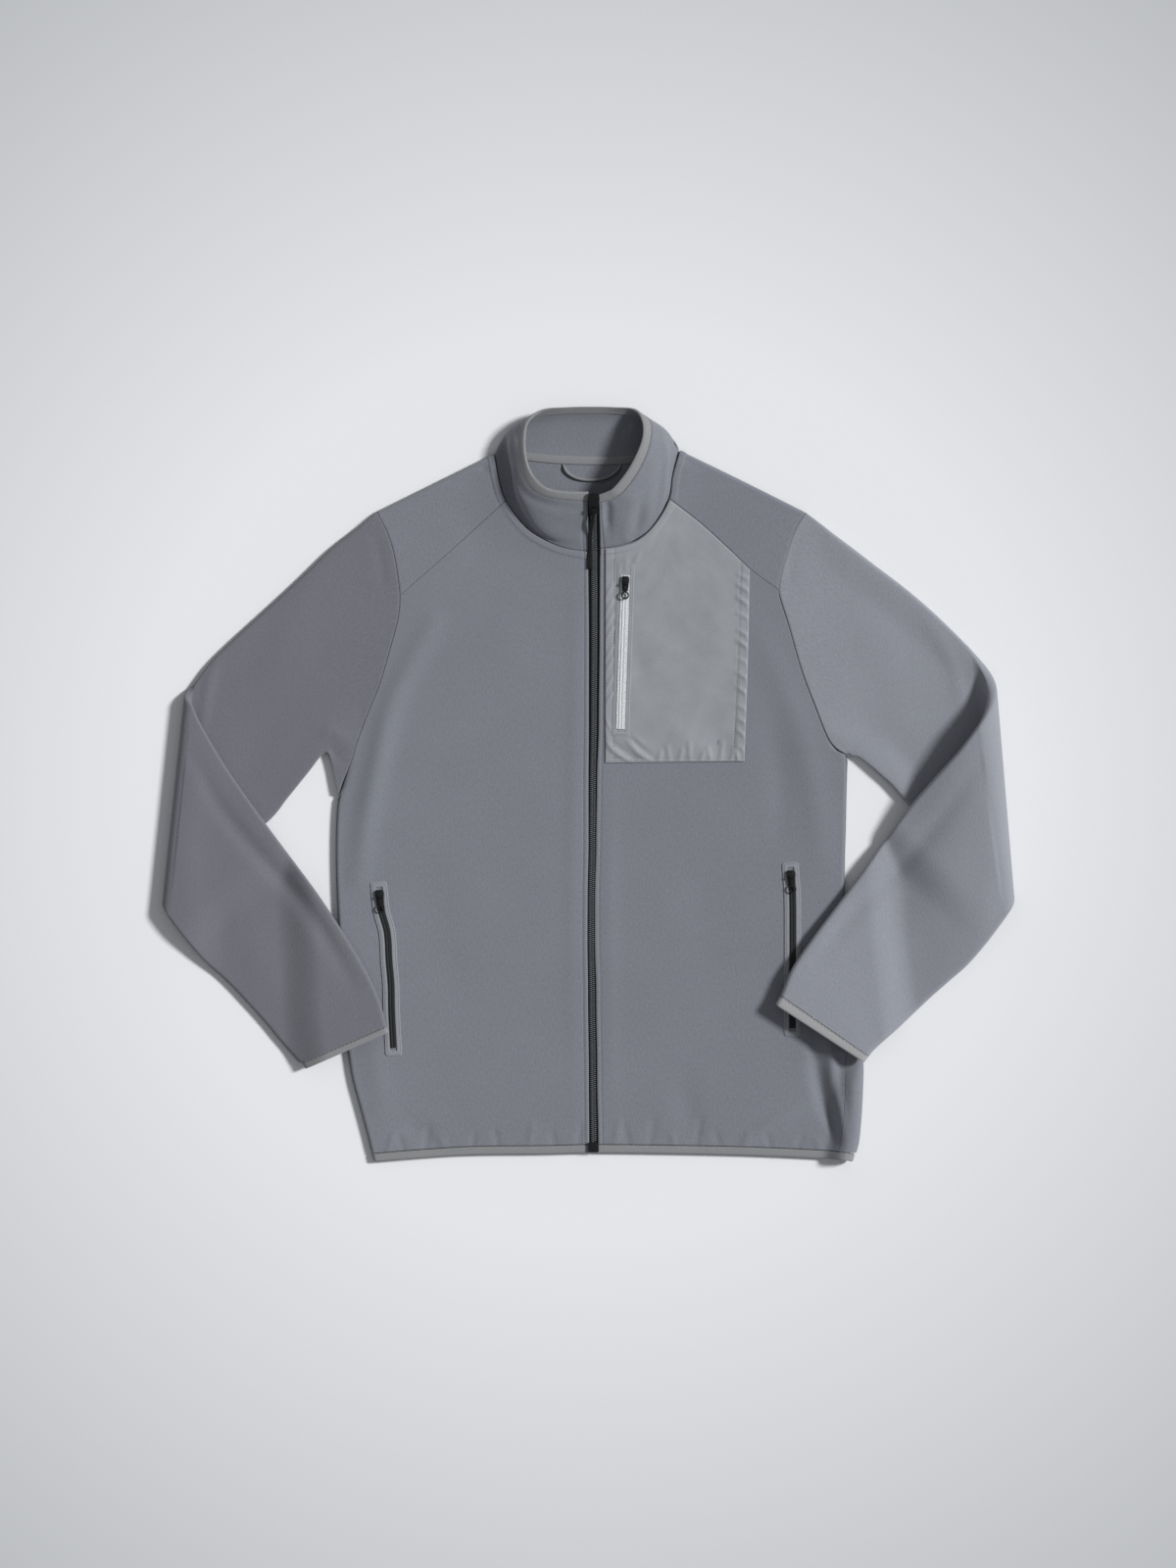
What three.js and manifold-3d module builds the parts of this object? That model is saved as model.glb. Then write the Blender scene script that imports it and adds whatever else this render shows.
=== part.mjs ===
// Fleece jacket with a stand collar and a full-length zip, laid flat on its back with both sleeves
// folded over at the elbow. Millimetres, +Z up, +Y towards the collar, +X towards the wearer's left.
// The origin is on the surface it lies on, under the middle of the garment.
import * as THREE from 'three';
import { mergeVertices } from 'three/addons/utils/BufferGeometryUtils.js';
import Module from 'manifold-3d';

const wasm = await Module();
wasm.setup();

const { lerp, smoothstep } = THREE.MathUtils;

// Cloth
const fleece = 1.8; // wall of the fleece
const nylon = 1; // wall of the woven chest panel
const boundEdge = 2.4; // wall of an edge with its binding
const binding = 8; // width of the binding at hem, cuffs and collar
const seam = 0.3; // gap between two pieces at a seam
const hemGap = 0.6; // gap between a panel and the hem binding
const edgeRoll = 4; // radius of the cloth where it turns at a side
const seamWrap = 2; // how far past the turn the side seams lie
const flatTop = 7; // height of the front where it lies flat
const sideShare = 0.64; // share of a panel's outer line that is side seam, below the armhole
const yokeLift = 0.1; // the yokes lie this much higher, clear of the back's edge
const yokeShare = 0.58; // share of a front's top line that is yoke seam
const seamTrim = seam * 0.7; // each side of the yoke seam stops this short of its line
const planEase = 2.6; // how closely the hem and the neck line bend the rows near them
const backEdge = 0.95; // the back's turned edge stops short of the yoke's by this share
const backTop = { shoulder: 0.29, neck: 0.6 }; // shares of the back's top line: shoulder, then neck
const backCurl = { from: 0.016, to: 0.002 }; // the back's sides stop curling this short of the underarm
const backTurn = 0.12; // share of the back's width given to each turned-up side
const upperShare = 0.36; // shares of a sleeve's length: to the elbow fold, past it, and to the binding
const tubeTurn = 0.2; // share of a tube's half loop given to each turned edge
const tubeSink = 45; // distance over which a sleeve sinks from its edge to where it is flat
const cuffSeam = 0.004; // share of a sleeve's length between it and its binding
const foldShare = 0.54;
const cuffShare = 0.956;
const armholeReach = 0.5; // share of the upper arm over which a sleeve follows the armhole's curve
const armStart = 0.004; // the armhole tables are followed from just past the underarm
const armShares = [0.07, 0.17, 0.28, 0.4, 0.53, 2 / 3, 0.78, 0.9]; // shares along an armhole that have a row
const underarmRow = 0.024; // the same, for the row just past the underarm
const neckRows = [0.592, 0.636]; // and for two rows of the fronts where the neck line bends
const armGap = 0.5; // gap between a panel and the sleeve
const backClear = 1.7; // the same at the back, under the arm
const seamInset = edgeRoll * (1 - Math.cos(seamWrap / edgeRoll));
const step = 1e-4; // step for measuring a slope, as a share of a piece's length

// Closed outline of the body, as laid: each side from the hem up, each shoulder from the armhole in
const rightSide = [[-219, -385], [-225, -360], [-233, -330], [-241, -300], [-245, -275], [-250, -240],
  [-254, -160], [-257, -100], [-257.5, -60], [-256.5, -30], [-255, -12]];
const leftSide = [[270, -385], [275.5, -370], [278.5, -345], [280.5, -310], [281, -285], [276, -240],
  [267, -170], [262, -110], [262, -80], [263, -45], [264, 0], [265, 30]];
const rightShoulder = [[-215.5, 277.5], [-155, 307.5], [-96, 336.5]];
const leftShoulder = [[222, 277], [158, 309], [94, 340]];
const rightArmhole = [[-255, -12], [-250, 2], [-241, 25], [-236, 42], [-221.5, 80], [-213, 101],
  [-202, 138], [-193.5, 171], [-192, 192.5], [-194, 212], [-198.5, 237], [-205, 257], [-215.5, 277.5]];
const leftArmhole = [[265, 30], [255, 35], [247, 43], [241, 55], [233, 76], [218, 116], [204.5, 163],
  [195, 194], [194.5, 200], [196, 212], [202, 233], [211, 259], [222, 277]];
const rightYokeSeam = [[-192, 192.5], [-138, 240], [-84, 289]];
const leftYokeSeam = [[194.5, 198], [167, 218], [147, 237], [114, 267], [83, 291]];
const rightNeck = [[-96, 336.5], [-91, 310], [-84, 289], [-63, 261], [-43, 248], [-22, 240], [0, 237]];
const leftNeck = [[94, 340], [86.5, 314], [83, 291], [67, 264], [50, 249], [31, 242.5], [12, 240]];
const backNeck = [[-96, 336.5], [-78, 334.5], [-40, 330.5], [0, 329], [40, 329.5], [76, 334], [94, 340]];
const hemLine = [[-219, -385], [-170, -381], [-120, -378], [-40, -377], [0, -376], [100, -377], [180, -379],
  [262, -383.5], [270, -385]];
const yokeRow = 8; // row of each armhole table where the yoke seam meets it
const neckRow = 2; // row of each neck table where the yoke seam meets it
const zipFootY = hemLine[4][1]; // where the zip ends at the hem
const zipNeckY = 238; // where the zip passes from the fronts to the collar
const sideStart = 0.03; // share of a side line that the hem binding covers

// Zip opening: where the cloth stops on each side of the chain
const opening = [
  { y: -377, right: 1.2, left: 10.2 }, { y: -300, right: 0.8, left: 9 }, { y: -220, right: 0, left: 8 },
  { y: -160, right: -0.6, left: 6.6 }, { y: -120, right: -0.4, left: 6.6 }, { y: -60, right: 0.6, left: 8 },
  { y: 0, right: 0.6, left: 8.8 }, { y: 60, right: 1, left: 10.6 }, { y: 150, right: 1.2, left: 11.4 },
  { y: 240, right: 0.6, left: 11.8 }, { y: 300, right: 0.5, left: 11.2 }];

// Largest folds of the fronts: soft ridges, and hollows where the height is below zero
const folds = [
  { path: [[-158, 165], [-200, 82], [-217, 11], [-226, -35], [-234, -95]], height: 3.2, width: 13 },
  { path: [[176, 150], [214, 60], [232, -20], [236, -80]], height: 2, width: 15 },
  { path: [[226, -255], [236, -300], [245, -340], [258, -366]], height: -2.6, width: 9 },
  { path: [[-188, -345], [-150, -368]], height: -1.6, width: 13 },
  { path: [[96, -300], [108, -366]], height: -1.4, width: 14 },
  { path: [[160, -366], [186, -345], [214, -332]], height: 1.6, width: 7 }];
const foldReach = 10; // the folds fade out over this distance from an edge
const foldFade = 0.12; // share of a half wave that a fold leaves out at each end
const neckLift = { height: 2.2, width: 20 }; // the fronts rise to the neck seam
// The left side stands up near the hem: its seam lies further in, as shares of the radius
const sideBulge = { from: 264, to: 318, lead: 30, roll: 10, sink: 22, seamIn: 1.85, past: 0.85 };
const sinkLength = 90; // distance over which the front sinks from its edge to where it is flat

// Collar: rows go from the zip round the wearer's right, the back and the left to the zip again.
// seam is where it joins the body, foot and turn lie part of the way up, rim is its free edge.
const collarRows = [
  { seam: [0, 237.3, 9.4], foot: [0, 252, 16], turn: [0, 274, 28], rim: [0.5, 296.5, 36] },
  { seam: [-22, 240.3, 9.4], foot: [-24, 253, 15], turn: [-23, 276, 28.5], rim: [-16, 296.5, 37] },
  { seam: [-43, 248.7, 9.2], foot: [-43, 256, 13], turn: [-45, 280, 28.5], rim: [-34, 298, 38] },
  { seam: [-62.2, 261.9, 9.2], foot: [-57, 267, 12], turn: [-64, 290, 28], rim: [-46, 302.5, 38.5] },
  { seam: [-82, 287, 9], foot: [-70, 290, 11], turn: [-74, 306, 27], rim: [-57, 314, 38.5] },
  { seam: [-90, 311, 8.6], foot: [-76, 318, 9.5], turn: [-77, 329, 25], rim: [-63.5, 330, 37] },
  { seam: [-93.4, 330, 7.6], foot: [-83, 343, 8], turn: [-79.5, 350, 22], rim: [-65, 350, 35] },
  { seam: [-94.2, 338, 4], foot: [-88, 350, 4.5], turn: [-79, 362, 12], rim: [-62, 369, 30] },
  { seam: [-78, 335.8, 0.6], foot: [-76, 350, 0.5], turn: [-68, 366, 4], rim: [-47, 382, 20] },
  { seam: [-40, 331.8, 0.3], foot: [-38, 348, 0.5], turn: [-32, 370, 5], rim: [-22, 384.5, 16] },
  { seam: [0, 330.2, 0.2], foot: [1, 347, 0.4], turn: [2, 370, 5], rim: [3, 385, 15] },
  { seam: [40, 330.8, 0.2], foot: [38, 348, 0.4], turn: [34, 370, 5], rim: [28, 384.5, 16] },
  { seam: [76, 335.6, 0.4], foot: [72, 352, 1], turn: [64, 368, 6], rim: [48, 382.5, 22] },
  { seam: [92.2, 341.4, 4], foot: [88, 352, 7], turn: [76, 363, 17], rim: [56, 370, 33] },
  { seam: [90.6, 333.6, 7.8], foot: [86, 344, 13], turn: [75, 348, 27], rim: [56.5, 354, 38.5] },
  { seam: [86, 314.4, 9], foot: [81, 323, 16], turn: [71, 330, 30], rim: [51, 337, 41] },
  { seam: [82, 291.6, 9.2], foot: [73, 301, 17], turn: [62, 310, 31], rim: [40, 317, 41] },
  { seam: [66.6, 264.4, 9.2], foot: [60, 277, 18], turn: [48, 290, 31], rim: [26, 300, 39.5] },
  { seam: [49.6, 250, 9.3], foot: [44, 262, 17], turn: [34, 280, 29], rim: [18, 295.5, 37.5] },
  { seam: [31, 243, 9.4], foot: [28, 256, 16], turn: [22, 276, 28], rim: [13.5, 294, 36.5] },
  { seam: [12, 240.4, 9.4], foot: [12, 253, 15.5], turn: [11.5, 274, 28], rim: [11.2, 293.5, 36] }];
const collarBound = 0.86; // share of the collar's height below its binding
const collarSeam = 0.006; // share of its height between it and its binding
const collarLength = 440; // from the zip round the neck to the zip

// Sleeves: each row is one section across the flat tube, from the underarm to the outer edge.
// fold.out points out of the elbow fold; fold.under and fold.over are half the height of the folded
// stack at the two ends of the section; settle is how far from the fold the forearm comes to rest.
const rightSleeve = {
  armhole: rightArmhole,
  roll: 4,
  fold: { out: [-0.994, 0.108], under: 9.2, over: 9.2, settle: 60 },
  upper: [
    { under: [-255, -12], over: [-215.5, 277.5] }, { under: [-262, 20], over: [-228, 267] },
    { under: [-269, 31], over: [-238, 259] }, { under: [-285, 12], over: [-262, 240] },
    { under: [-306, -14], over: [-290, 213] }, { under: [-327, -39], over: [-318, 187] },
    { under: [-378, -78], over: [-362, 147] }, { under: [-405, -98], over: [-385, 124] },
    { under: [-424.2, -112], over: [-401.5, 102] }],
  fore: [
    { under: [-426.7, -137], over: [-403.7, 82], lift: 0 },
    { under: [-414, -154], over: [-394, 60], lift: 0 },
    { under: [-392, -180], over: [-368, 16], lift: 0 },
    { under: [-368, -202], over: [-338, -27], lift: 0 },
    { under: [-348, -223], over: [-308, -68], lift: 0 },
    { under: [-330, -243], over: [-278, -108], lift: 0 },
    { under: [-316, -260], over: [-252, -147], lift: 0 },
    { under: [-304, -274], over: [-229, -185], lift: 0 },
    { under: [-296, -283], over: [-213, -218], lift: 0.5 },
    { under: [-292.2, -284.6], over: [-205.6, -245.2], lift: 1 },
    { under: [-288.3, -290.5], over: [-202, -253], lift: 1 }],
};
const leftSleeve = {
  armhole: leftArmhole,
  roll: 5,
  fold: { out: [0.996, 0.0888], under: 12, over: 24, settle: 120 },
  upper: [
    { under: [265, 30], over: [222, 277] }, { under: [276, 27], over: [236, 266.5] },
    { under: [287, 18], over: [250, 255.5] }, { under: [298, 8], over: [272, 239] },
    { under: [310, -3], over: [294, 222] }, { under: [328, -23], over: [323, 200] },
    { under: [358, -51], over: [350, 177] }, { under: [390, -79], over: [372, 156] },
    { under: [422, -106], over: [389, 139] }],
  fore: [
    { under: [424, -138], over: [395, 58], lift: 0 }, { under: [406, -162], over: [376, 33], lift: 0 },
    { under: [387, -184], over: [352, 6], lift: 0 }, { under: [368, -201], over: [328, -22], lift: 0 },
    { under: [350, -217], over: [303, -56], lift: 0 }, { under: [332, -234], over: [278, -91], lift: 0 },
    { under: [316, -249], over: [253, -124], lift: 1 }, { under: [302, -261], over: [229, -156], lift: 3 },
    { under: [291, -271], over: [208, -187], lift: 5 },
    { under: [286.4, -276.6], over: [196.6, -213.4], lift: 6 },
    { under: [281, -283.5], over: [190.5, -224.5], lift: 7 }],
};
const armLift = 0.7; // gap between the forearm and the upper arm below it
const bodyLift = 10.8; // height at which a forearm crosses the body
const hold = [20, 62]; // distances over which a forearm comes down beside what it crosses

// Zips: half widths and heights of tape and chain, measured from the outer face of the cloth
const tapeThick = 0.7;
const mainTape = { half: 12, low: -boundEdge - seam - tapeThick, top: -boundEdge - seam, chain: 2.8,
  chainTop: 0.3 };
const pocketTape = { half: 3.4, low: 0.4, top: 0.8, chain: 1.7, chainTop: 1.4 };
const chestTape = { half: 4.6, low: nylon + 0.9, top: nylon + 1.4, chain: 1.9, chainTop: nylon + 2 };
const chainSlope = 0.3; // the chain's sides lean by this much
const chestZipLine = [[38.4, 213], [36.2, 150], [34.4, 96], [33.2, 56]];
const rightPocketLine = [[-213, -108], [-210.5, -130], [-205, -151], [-203, -181], [-201, -205],
  [-200.5, -230], [-198.5, -269]];
const leftPocketLine = [[206.5, -88], [208.2, -112], [208.6, -160], [208.5, -249]];
const zipFoot = { width: 10.6, length: 9.5, height: 2.4, low: 0.65 }; // box at the main zip's lower end

// Sliders, each with a bridge of two posts and a bar. y is the slider's middle, low its height over the
// cloth, tilt the slope it follows, turn its direction on the plan.
const sliders = {
  main: { width: 12, length: 22, height: 2.2, low: 1.3, post: 1.3, bar: 0.8, pull: 3.2, y: 286, barAt: -6 },
  chest: { width: 8, length: 15, height: 1.6, low: nylon + 2.35, post: 0.8, bar: 0.6, pull: 3, y: 204.4,
    barAt: 0 },
  right: { width: 9.4, length: 14, height: 1.6, low: 1.75, post: 0.8, bar: 0.6, pull: 3, y: -115, barAt: 0 },
  left: { width: 9.4, length: 14, height: 1.6, low: 1.75, post: 0.8, bar: 0.6, pull: 3, y: -95, barAt: 0 },
};
const play = 0.35; // between a bar and the eye of its pull
const eyeWall = 0.8; // wall of the eye
const pullGap = 0.4; // beside the eye, between the posts, and over the slider
const plate = 0.9; // thickness of a small pull
const pullRing = { at: 12, outer: 4.2, inner: 2.6 }; // ring at the end of a small pull
const mainPull = { thick: 1.3, rise: 0.5, settle: [7, 26], strapEnd: 44, widening: 0.6, tab: 5.2,
  sideways: -4, drift: [5, 18], stations: [0, 4, 8, 13, 18, 23, 28, 34, 39, 43.4, 44, 52, 59] };

// Chest panel: its lines, and where its top leaves the neck seam and the yoke seam
const chestPanel = { left: 17.5, bottom: 21.5, right: [[159.5, 23], [163, 116], [166, 218.5]], gap: 0.5,
  below: 1.2, neckShare: 0.95, yokeShare: 0.725, topShare: 0.42 };

// Inside the neck
const neckTape = { from: -60, to: 60, width: 8, low: 2.5, high: 3.2, up: 1 };
const loopPath = [[-25, 326.2], [-22, 318], [-13, 312], [2, 310], [18, 312], [28, 318], [32, 325.6]];
const loopCord = 1.5; // radius
const loopHeight = 3.7;

const cloths = {
  fleece: new THREE.MeshStandardMaterial({ color: 0x767980, roughness: 0.95 }),
  sleeve: new THREE.MeshStandardMaterial({ color: 0x6c6d74, roughness: 0.95 }),
  edge: new THREE.MeshStandardMaterial({ color: 0x96969a, roughness: 0.85 }),
  nylon: new THREE.MeshStandardMaterial({ color: 0x919698, roughness: 0.55 }),
  zip: new THREE.MeshStandardMaterial({ color: 0x27282d, roughness: 0.5 }),
  reflective: new THREE.MeshStandardMaterial({ color: 0xd8dada, roughness: 0.4 }),
  metal: new THREE.MeshStandardMaterial({ color: 0x1c1d20, roughness: 0.35, metalness: 0.4 }),
};

// Smooth line through the points of a table
function curve(points, height = 0) {
  const vectors = points.map(([x, y, z = height]) => new THREE.Vector3(x, y, z));
  return new THREE.CatmullRomCurve3(vectors, false, 'centripetal');
}

// Line through the rows of a table, which reaches each row at an equal share of its length
function rowCurve(rows, column) {
  const vectors = rows.map((row) => new THREE.Vector3(row[column][0], row[column][1], row[column][2] ?? 0));
  return new THREE.CatmullRomCurve3(vectors, false, 'catmullrom', 0.5);
}

// Nearest place on a dense line: its distance, and how far along the line it is
function nearest(line, x, y) {
  let best = { distance: Infinity, along: 0, y: 0 };
  for (let i = 0; i + 1 < line.length; i += 1) {
    const [a, b] = [line[i], line[i + 1]];
    const dx = b.x - a.x;
    const dy = b.y - a.y;
    const t = THREE.MathUtils.clamp(((x - a.x) * dx + (y - a.y) * dy) / (dx * dx + dy * dy), 0, 1);
    const distance = Math.hypot(x - a.x - t * dx, y - a.y - t * dy);
    if (distance < best.distance) best = { distance, along: (i + t) / (line.length - 1), y: a.y + t * dy };
  }
  return best;
}

// Value of a table at a height, read between its rows
function between(rows, y, column) {
  let i = 0;
  while (i < rows.length - 2 && rows[i + 1].y < y) i += 1;
  return lerp(rows[i][column], rows[i + 1][column], smoothstep(y, rows[i].y, rows[i + 1].y));
}

const openingMiddle = (y) => (between(opening, y, 'right') + between(opening, y, 'left')) / 2;

const edges = [
  { line: curve(rightSide).getPoints(60), roll: () => edgeRoll },
  { line: curve(leftSide).getPoints(60), roll: leftRoll },
  { line: curve(rightShoulder).getPoints(20), roll: () => edgeRoll },
  { line: curve(leftShoulder).getPoints(20), roll: () => edgeRoll }];
const foldLines = folds.map((fold) => ({ ...fold, line: curve(fold.path).getPoints(24) }));
const neckLine = curve([...rightNeck, ...leftNeck.slice().reverse()]).getPoints(60);

// Radius at which the left side turns: it stands up near the hem
function leftRoll(y) {
  return lerp(edgeRoll, sideBulge.roll, smoothstep(-y, sideBulge.from, sideBulge.to));
}

// Distance of a place from the nearest edge where front and back meet, and the radius of that edge
function edgeAt(x, y) {
  let best = { distance: Infinity, roll: edgeRoll };
  for (const { line, roll } of edges) {
    const found = nearest(line, x, y);
    if (found.distance < best.distance) best = { distance: found.distance, roll: roll(found.y) };
  }
  return best;
}

// Sum of the folds at a place, each a bell across its line that fades at both ends
function foldHeight(x, y) {
  let sum = 0;
  for (const { line, height, width } of foldLines) {
    const { distance, along } = nearest(line, x, y);
    const fade = Math.sin(Math.PI * lerp(foldFade, 1 - foldFade, along));
    sum += height * fade * Math.exp(-((distance / width) ** 2));
  }
  return sum;
}

// Height of the outer face of the front: round at the edges, sinking inwards, with its folds
function topHeight(x, y) {
  const { distance, roll } = edgeAt(x, y);
  const inwards = Math.min(distance, roll);
  const round = roll + Math.sqrt(Math.max(roll * roll - (roll - inwards) ** 2, 0));
  const sink = roll > edgeRoll + 0.5 ? sideBulge.sink : sinkLength;
  const flat = lerp(round, flatTop, smoothstep(distance, roll, roll + sink));
  const neck = neckLift.height * Math.exp(-((nearest(neckLine, x, y).distance / neckLift.width) ** 2));
  const inner = smoothstep(distance, roll * 0.5, roll + foldReach);
  return flat + (foldHeight(x, y) + neck) * inner;
}

// Height of the outer face of the back: on the surface, turning up at the shoulders
function backHeight(x, y) {
  let height = 0;
  for (const { line } of edges.slice(2)) {
    const inwards = Math.min(nearest(line, x, y).distance, edgeRoll);
    const round = edgeRoll - Math.sqrt(Math.max(edgeRoll ** 2 - (edgeRoll - inwards) ** 2, 0));
    height = Math.max(height, round * backEdge);
  }
  return height;
}

// Direction out of a surface at u, v, from the slopes along both
function normalAt(surface, u, v, side) {
  const [u0, u1] = [Math.max(u - step, 0), Math.min(u + step, 1)];
  const [v0, v1] = [Math.max(v - step, 0), Math.min(v + step, 1)];
  const alongU = surface(u1, v).clone().sub(surface(u0, v));
  const alongV = surface(u, v1).clone().sub(surface(u, v0));
  return alongU.cross(alongV).normalize().multiplyScalar(side);
}

// Geometry of points and triangles, turned so that its faces point outwards
function solid(points, faces) {
  let volume = 0;
  for (const [a, b, c] of faces) volume += points[a].dot(points[b].clone().cross(points[c]));
  const geometry = new THREE.BufferGeometry();
  geometry.setAttribute('position', new THREE.Float32BufferAttribute(points.flatMap((p) => p.toArray()), 3));
  geometry.setIndex(faces.flatMap(([a, b, c]) => (volume > 0 ? [a, b, c] : [a, c, b])));
  return geometry;
}

// Wall of cloth: the surface over a grid, and the same grid moved in along its normals.
// side is 1 where u across v points out of the cloth, -1 where it points in; a loop closes along u.
function wall(surface, us, vs, { thick = fleece, side = 1, loop = false } = {}) {
  const points = [];
  for (const depth of [0, thick]) {
    for (const v of vs) {
      for (const u of us) {
        const point = surface(u, v).clone();
        points.push(depth === 0 ? point : point.addScaledVector(normalAt(surface, u, v, side), -depth));
      }
    }
  }
  const across = us.length;
  const layer = across * vs.length;
  const at = (i, j, inner) => (inner ? layer : 0) + j * across + (i % across);
  const faces = [];
  const quad = (a, b, c, d) => faces.push([a, b, c], [a, c, d]);
  const columns = loop ? across : across - 1;
  for (let j = 0; j + 1 < vs.length; j += 1) {
    for (let i = 0; i < columns; i += 1) {
      quad(at(i, j), at(i + 1, j), at(i + 1, j + 1), at(i, j + 1));
      quad(at(i, j, 1), at(i, j + 1, 1), at(i + 1, j + 1, 1), at(i + 1, j, 1));
    }
  }
  const last = vs.length - 1;
  for (let i = 0; i < columns; i += 1) {
    quad(at(i, 0), at(i, 0, 1), at(i + 1, 0, 1), at(i + 1, 0));
    quad(at(i, last), at(i + 1, last), at(i + 1, last, 1), at(i, last, 1));
  }
  if (!loop) {
    for (let j = 0; j < last; j += 1) {
      quad(at(0, j), at(0, j + 1), at(0, j + 1, 1), at(0, j, 1));
      quad(at(across - 1, j), at(across - 1, j, 1), at(across - 1, j + 1, 1), at(across - 1, j + 1));
    }
  }
  return solid(points, faces);
}

// Even shares from 0 to 1, and the same with a few close rows at one end for a rounded edge
const shares = (count, from = 0, to = 1) => (
  Array.from({ length: count + 1 }, (_, i) => lerp(from, to, i / count)));
const roundedStart = (length, roll, count) => (
  [0, 0.1, 0.4, 1].map((s) => (s * roll) / length).concat(shares(count, roll / length, 1).slice(1)));

// Plan of a panel between a left and a right line, bent at its ends to the hem and to its top line
function panelPlan({ left, right, bottom, top, ease }) {
  return (u, v) => {
    const point = left(v).lerp(right(v), u);
    const low = bottom(u).sub(left(0).lerp(right(0), u)).multiplyScalar((1 - v) ** ease);
    const high = top(u).sub(left(1).lerp(right(1), u)).multiplyScalar(v ** ease);
    return point.add(low).add(high);
  };
}

// Part of a line, as a function that runs from one share of it to another
const stretch = (line, from, to) => (t) => line.getPoint(lerp(from, to, t));

// Two lines joined at a share of the whole
const joined = (first, second, share) => (t) => (
  t < share ? first(t / share) : second((t - share) / (1 - share)));

// A side line above the hem binding, as a function of its share
function aboveHem(line) {
  let start = 0;
  while (line.getPoint(start).y < line.getPoint(0).y + binding + hemGap) start += 0.001;
  return stretch(line, start, 1);
}

// How far the left side has turned from a plain edge to a standing one
const sideWrap = (y) => (
  smoothstep(-y, sideBulge.from - sideBulge.lead, sideBulge.to - sideBulge.lead));

// Side seam of a front in plan: on the turned edge, or further in where the side stands up
function sideSeam(line, inwards, bulge) {
  const side = aboveHem(line);
  return (t) => {
    const point = side(t);
    const wrap = bulge ? sideWrap(point.y) : 0;
    return point.setX(point.x + inwards * lerp(seamInset, sideBulge.roll * sideBulge.seamIn, wrap));
  };
}

const hemPoints = curve(hemLine).getPoints(60);

// Height on the plan of the hem at x
function hemAt(x) {
  let i = 0;
  while (i < hemPoints.length - 2 && hemPoints[i + 1].x < x) i += 1;
  const [a, b] = [hemPoints[i], hemPoints[i + 1]];
  return lerp(a.y, b.y, (x - a.x) / (b.x - a.x));
}

// A front panel: side seam and armhole on one side, the zip on the other, hem below, yoke and neck above
function frontPlan({ side, armhole, yoke, neck, column, inwards, bulge }) {
  const armCurve = curve(armhole);
  const armShare = yokeRow / (armhole.length - 1);
  const arm = stretch(armCurve, armStart, armShare);
  const outer = joined(sideSeam(curve(side), inwards, bulge), arm, sideShare);
  const zipEdge = (v) => {
    const y = lerp(zipFootY, neck[neck.length - 1][1], v);
    return new THREE.Vector3(between(opening, y, column), y, 0);
  };
  const neckFrom = neckRow / (neck.length - 1);
  const top = joined(stretch(curve(yoke), 0, 1), stretch(curve(neck), neckFrom, 1), yokeShare);
  const low = (u) => {
    const { x } = outer(0).lerp(zipEdge(0), u);
    return new THREE.Vector3(x, hemAt(x) + binding + hemGap, 0);
  };
  const raised = (t) => top(t).sub(new THREE.Vector3(0, seamTrim, 0));
  const plan = panelPlan({ left: outer, right: zipEdge, bottom: low, top: raised, ease: planEase });
  return (u, v) => {
    const point = plan(u, v);
    return point.setX(point.x + inwards * armGap * smoothstep(v, sideShare - 0.02, sideShare) * (1 - u));
  };
}

// Height given to a plan
const onTop = (plan, lift = 0) => (u, v) => {
  const point = plan(u, v);
  return point.setZ(topHeight(point.x, point.y) + lift);
};

// A yoke: four lines round it, the shoulder edge last
function yokePlan({ armhole, yoke, neck, shoulder, inwards }) {
  const armCurve = curve(armhole);
  const armShare = yokeRow / (armhole.length - 1);
  const neckCurve = curve(neck);
  const yokeCurve = curve(yoke);
  const shoulderCurve = curve(shoulder);
  const plan = panelPlan({
    left: stretch(armCurve, armShare, 1),
    right: stretch(neckCurve, neckRow / (neck.length - 1), 0),
    bottom: (t) => yokeCurve.getPoint(t).add(new THREE.Vector3(0, seamTrim, 0)),
    top: stretch(shoulderCurve, 0, 1),
    ease: 1 });
  return (u, v) => {
    const point = plan(u, v);
    return point.setX(point.x + inwards * armGap * (1 - 2 * u));
  };
}

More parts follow.
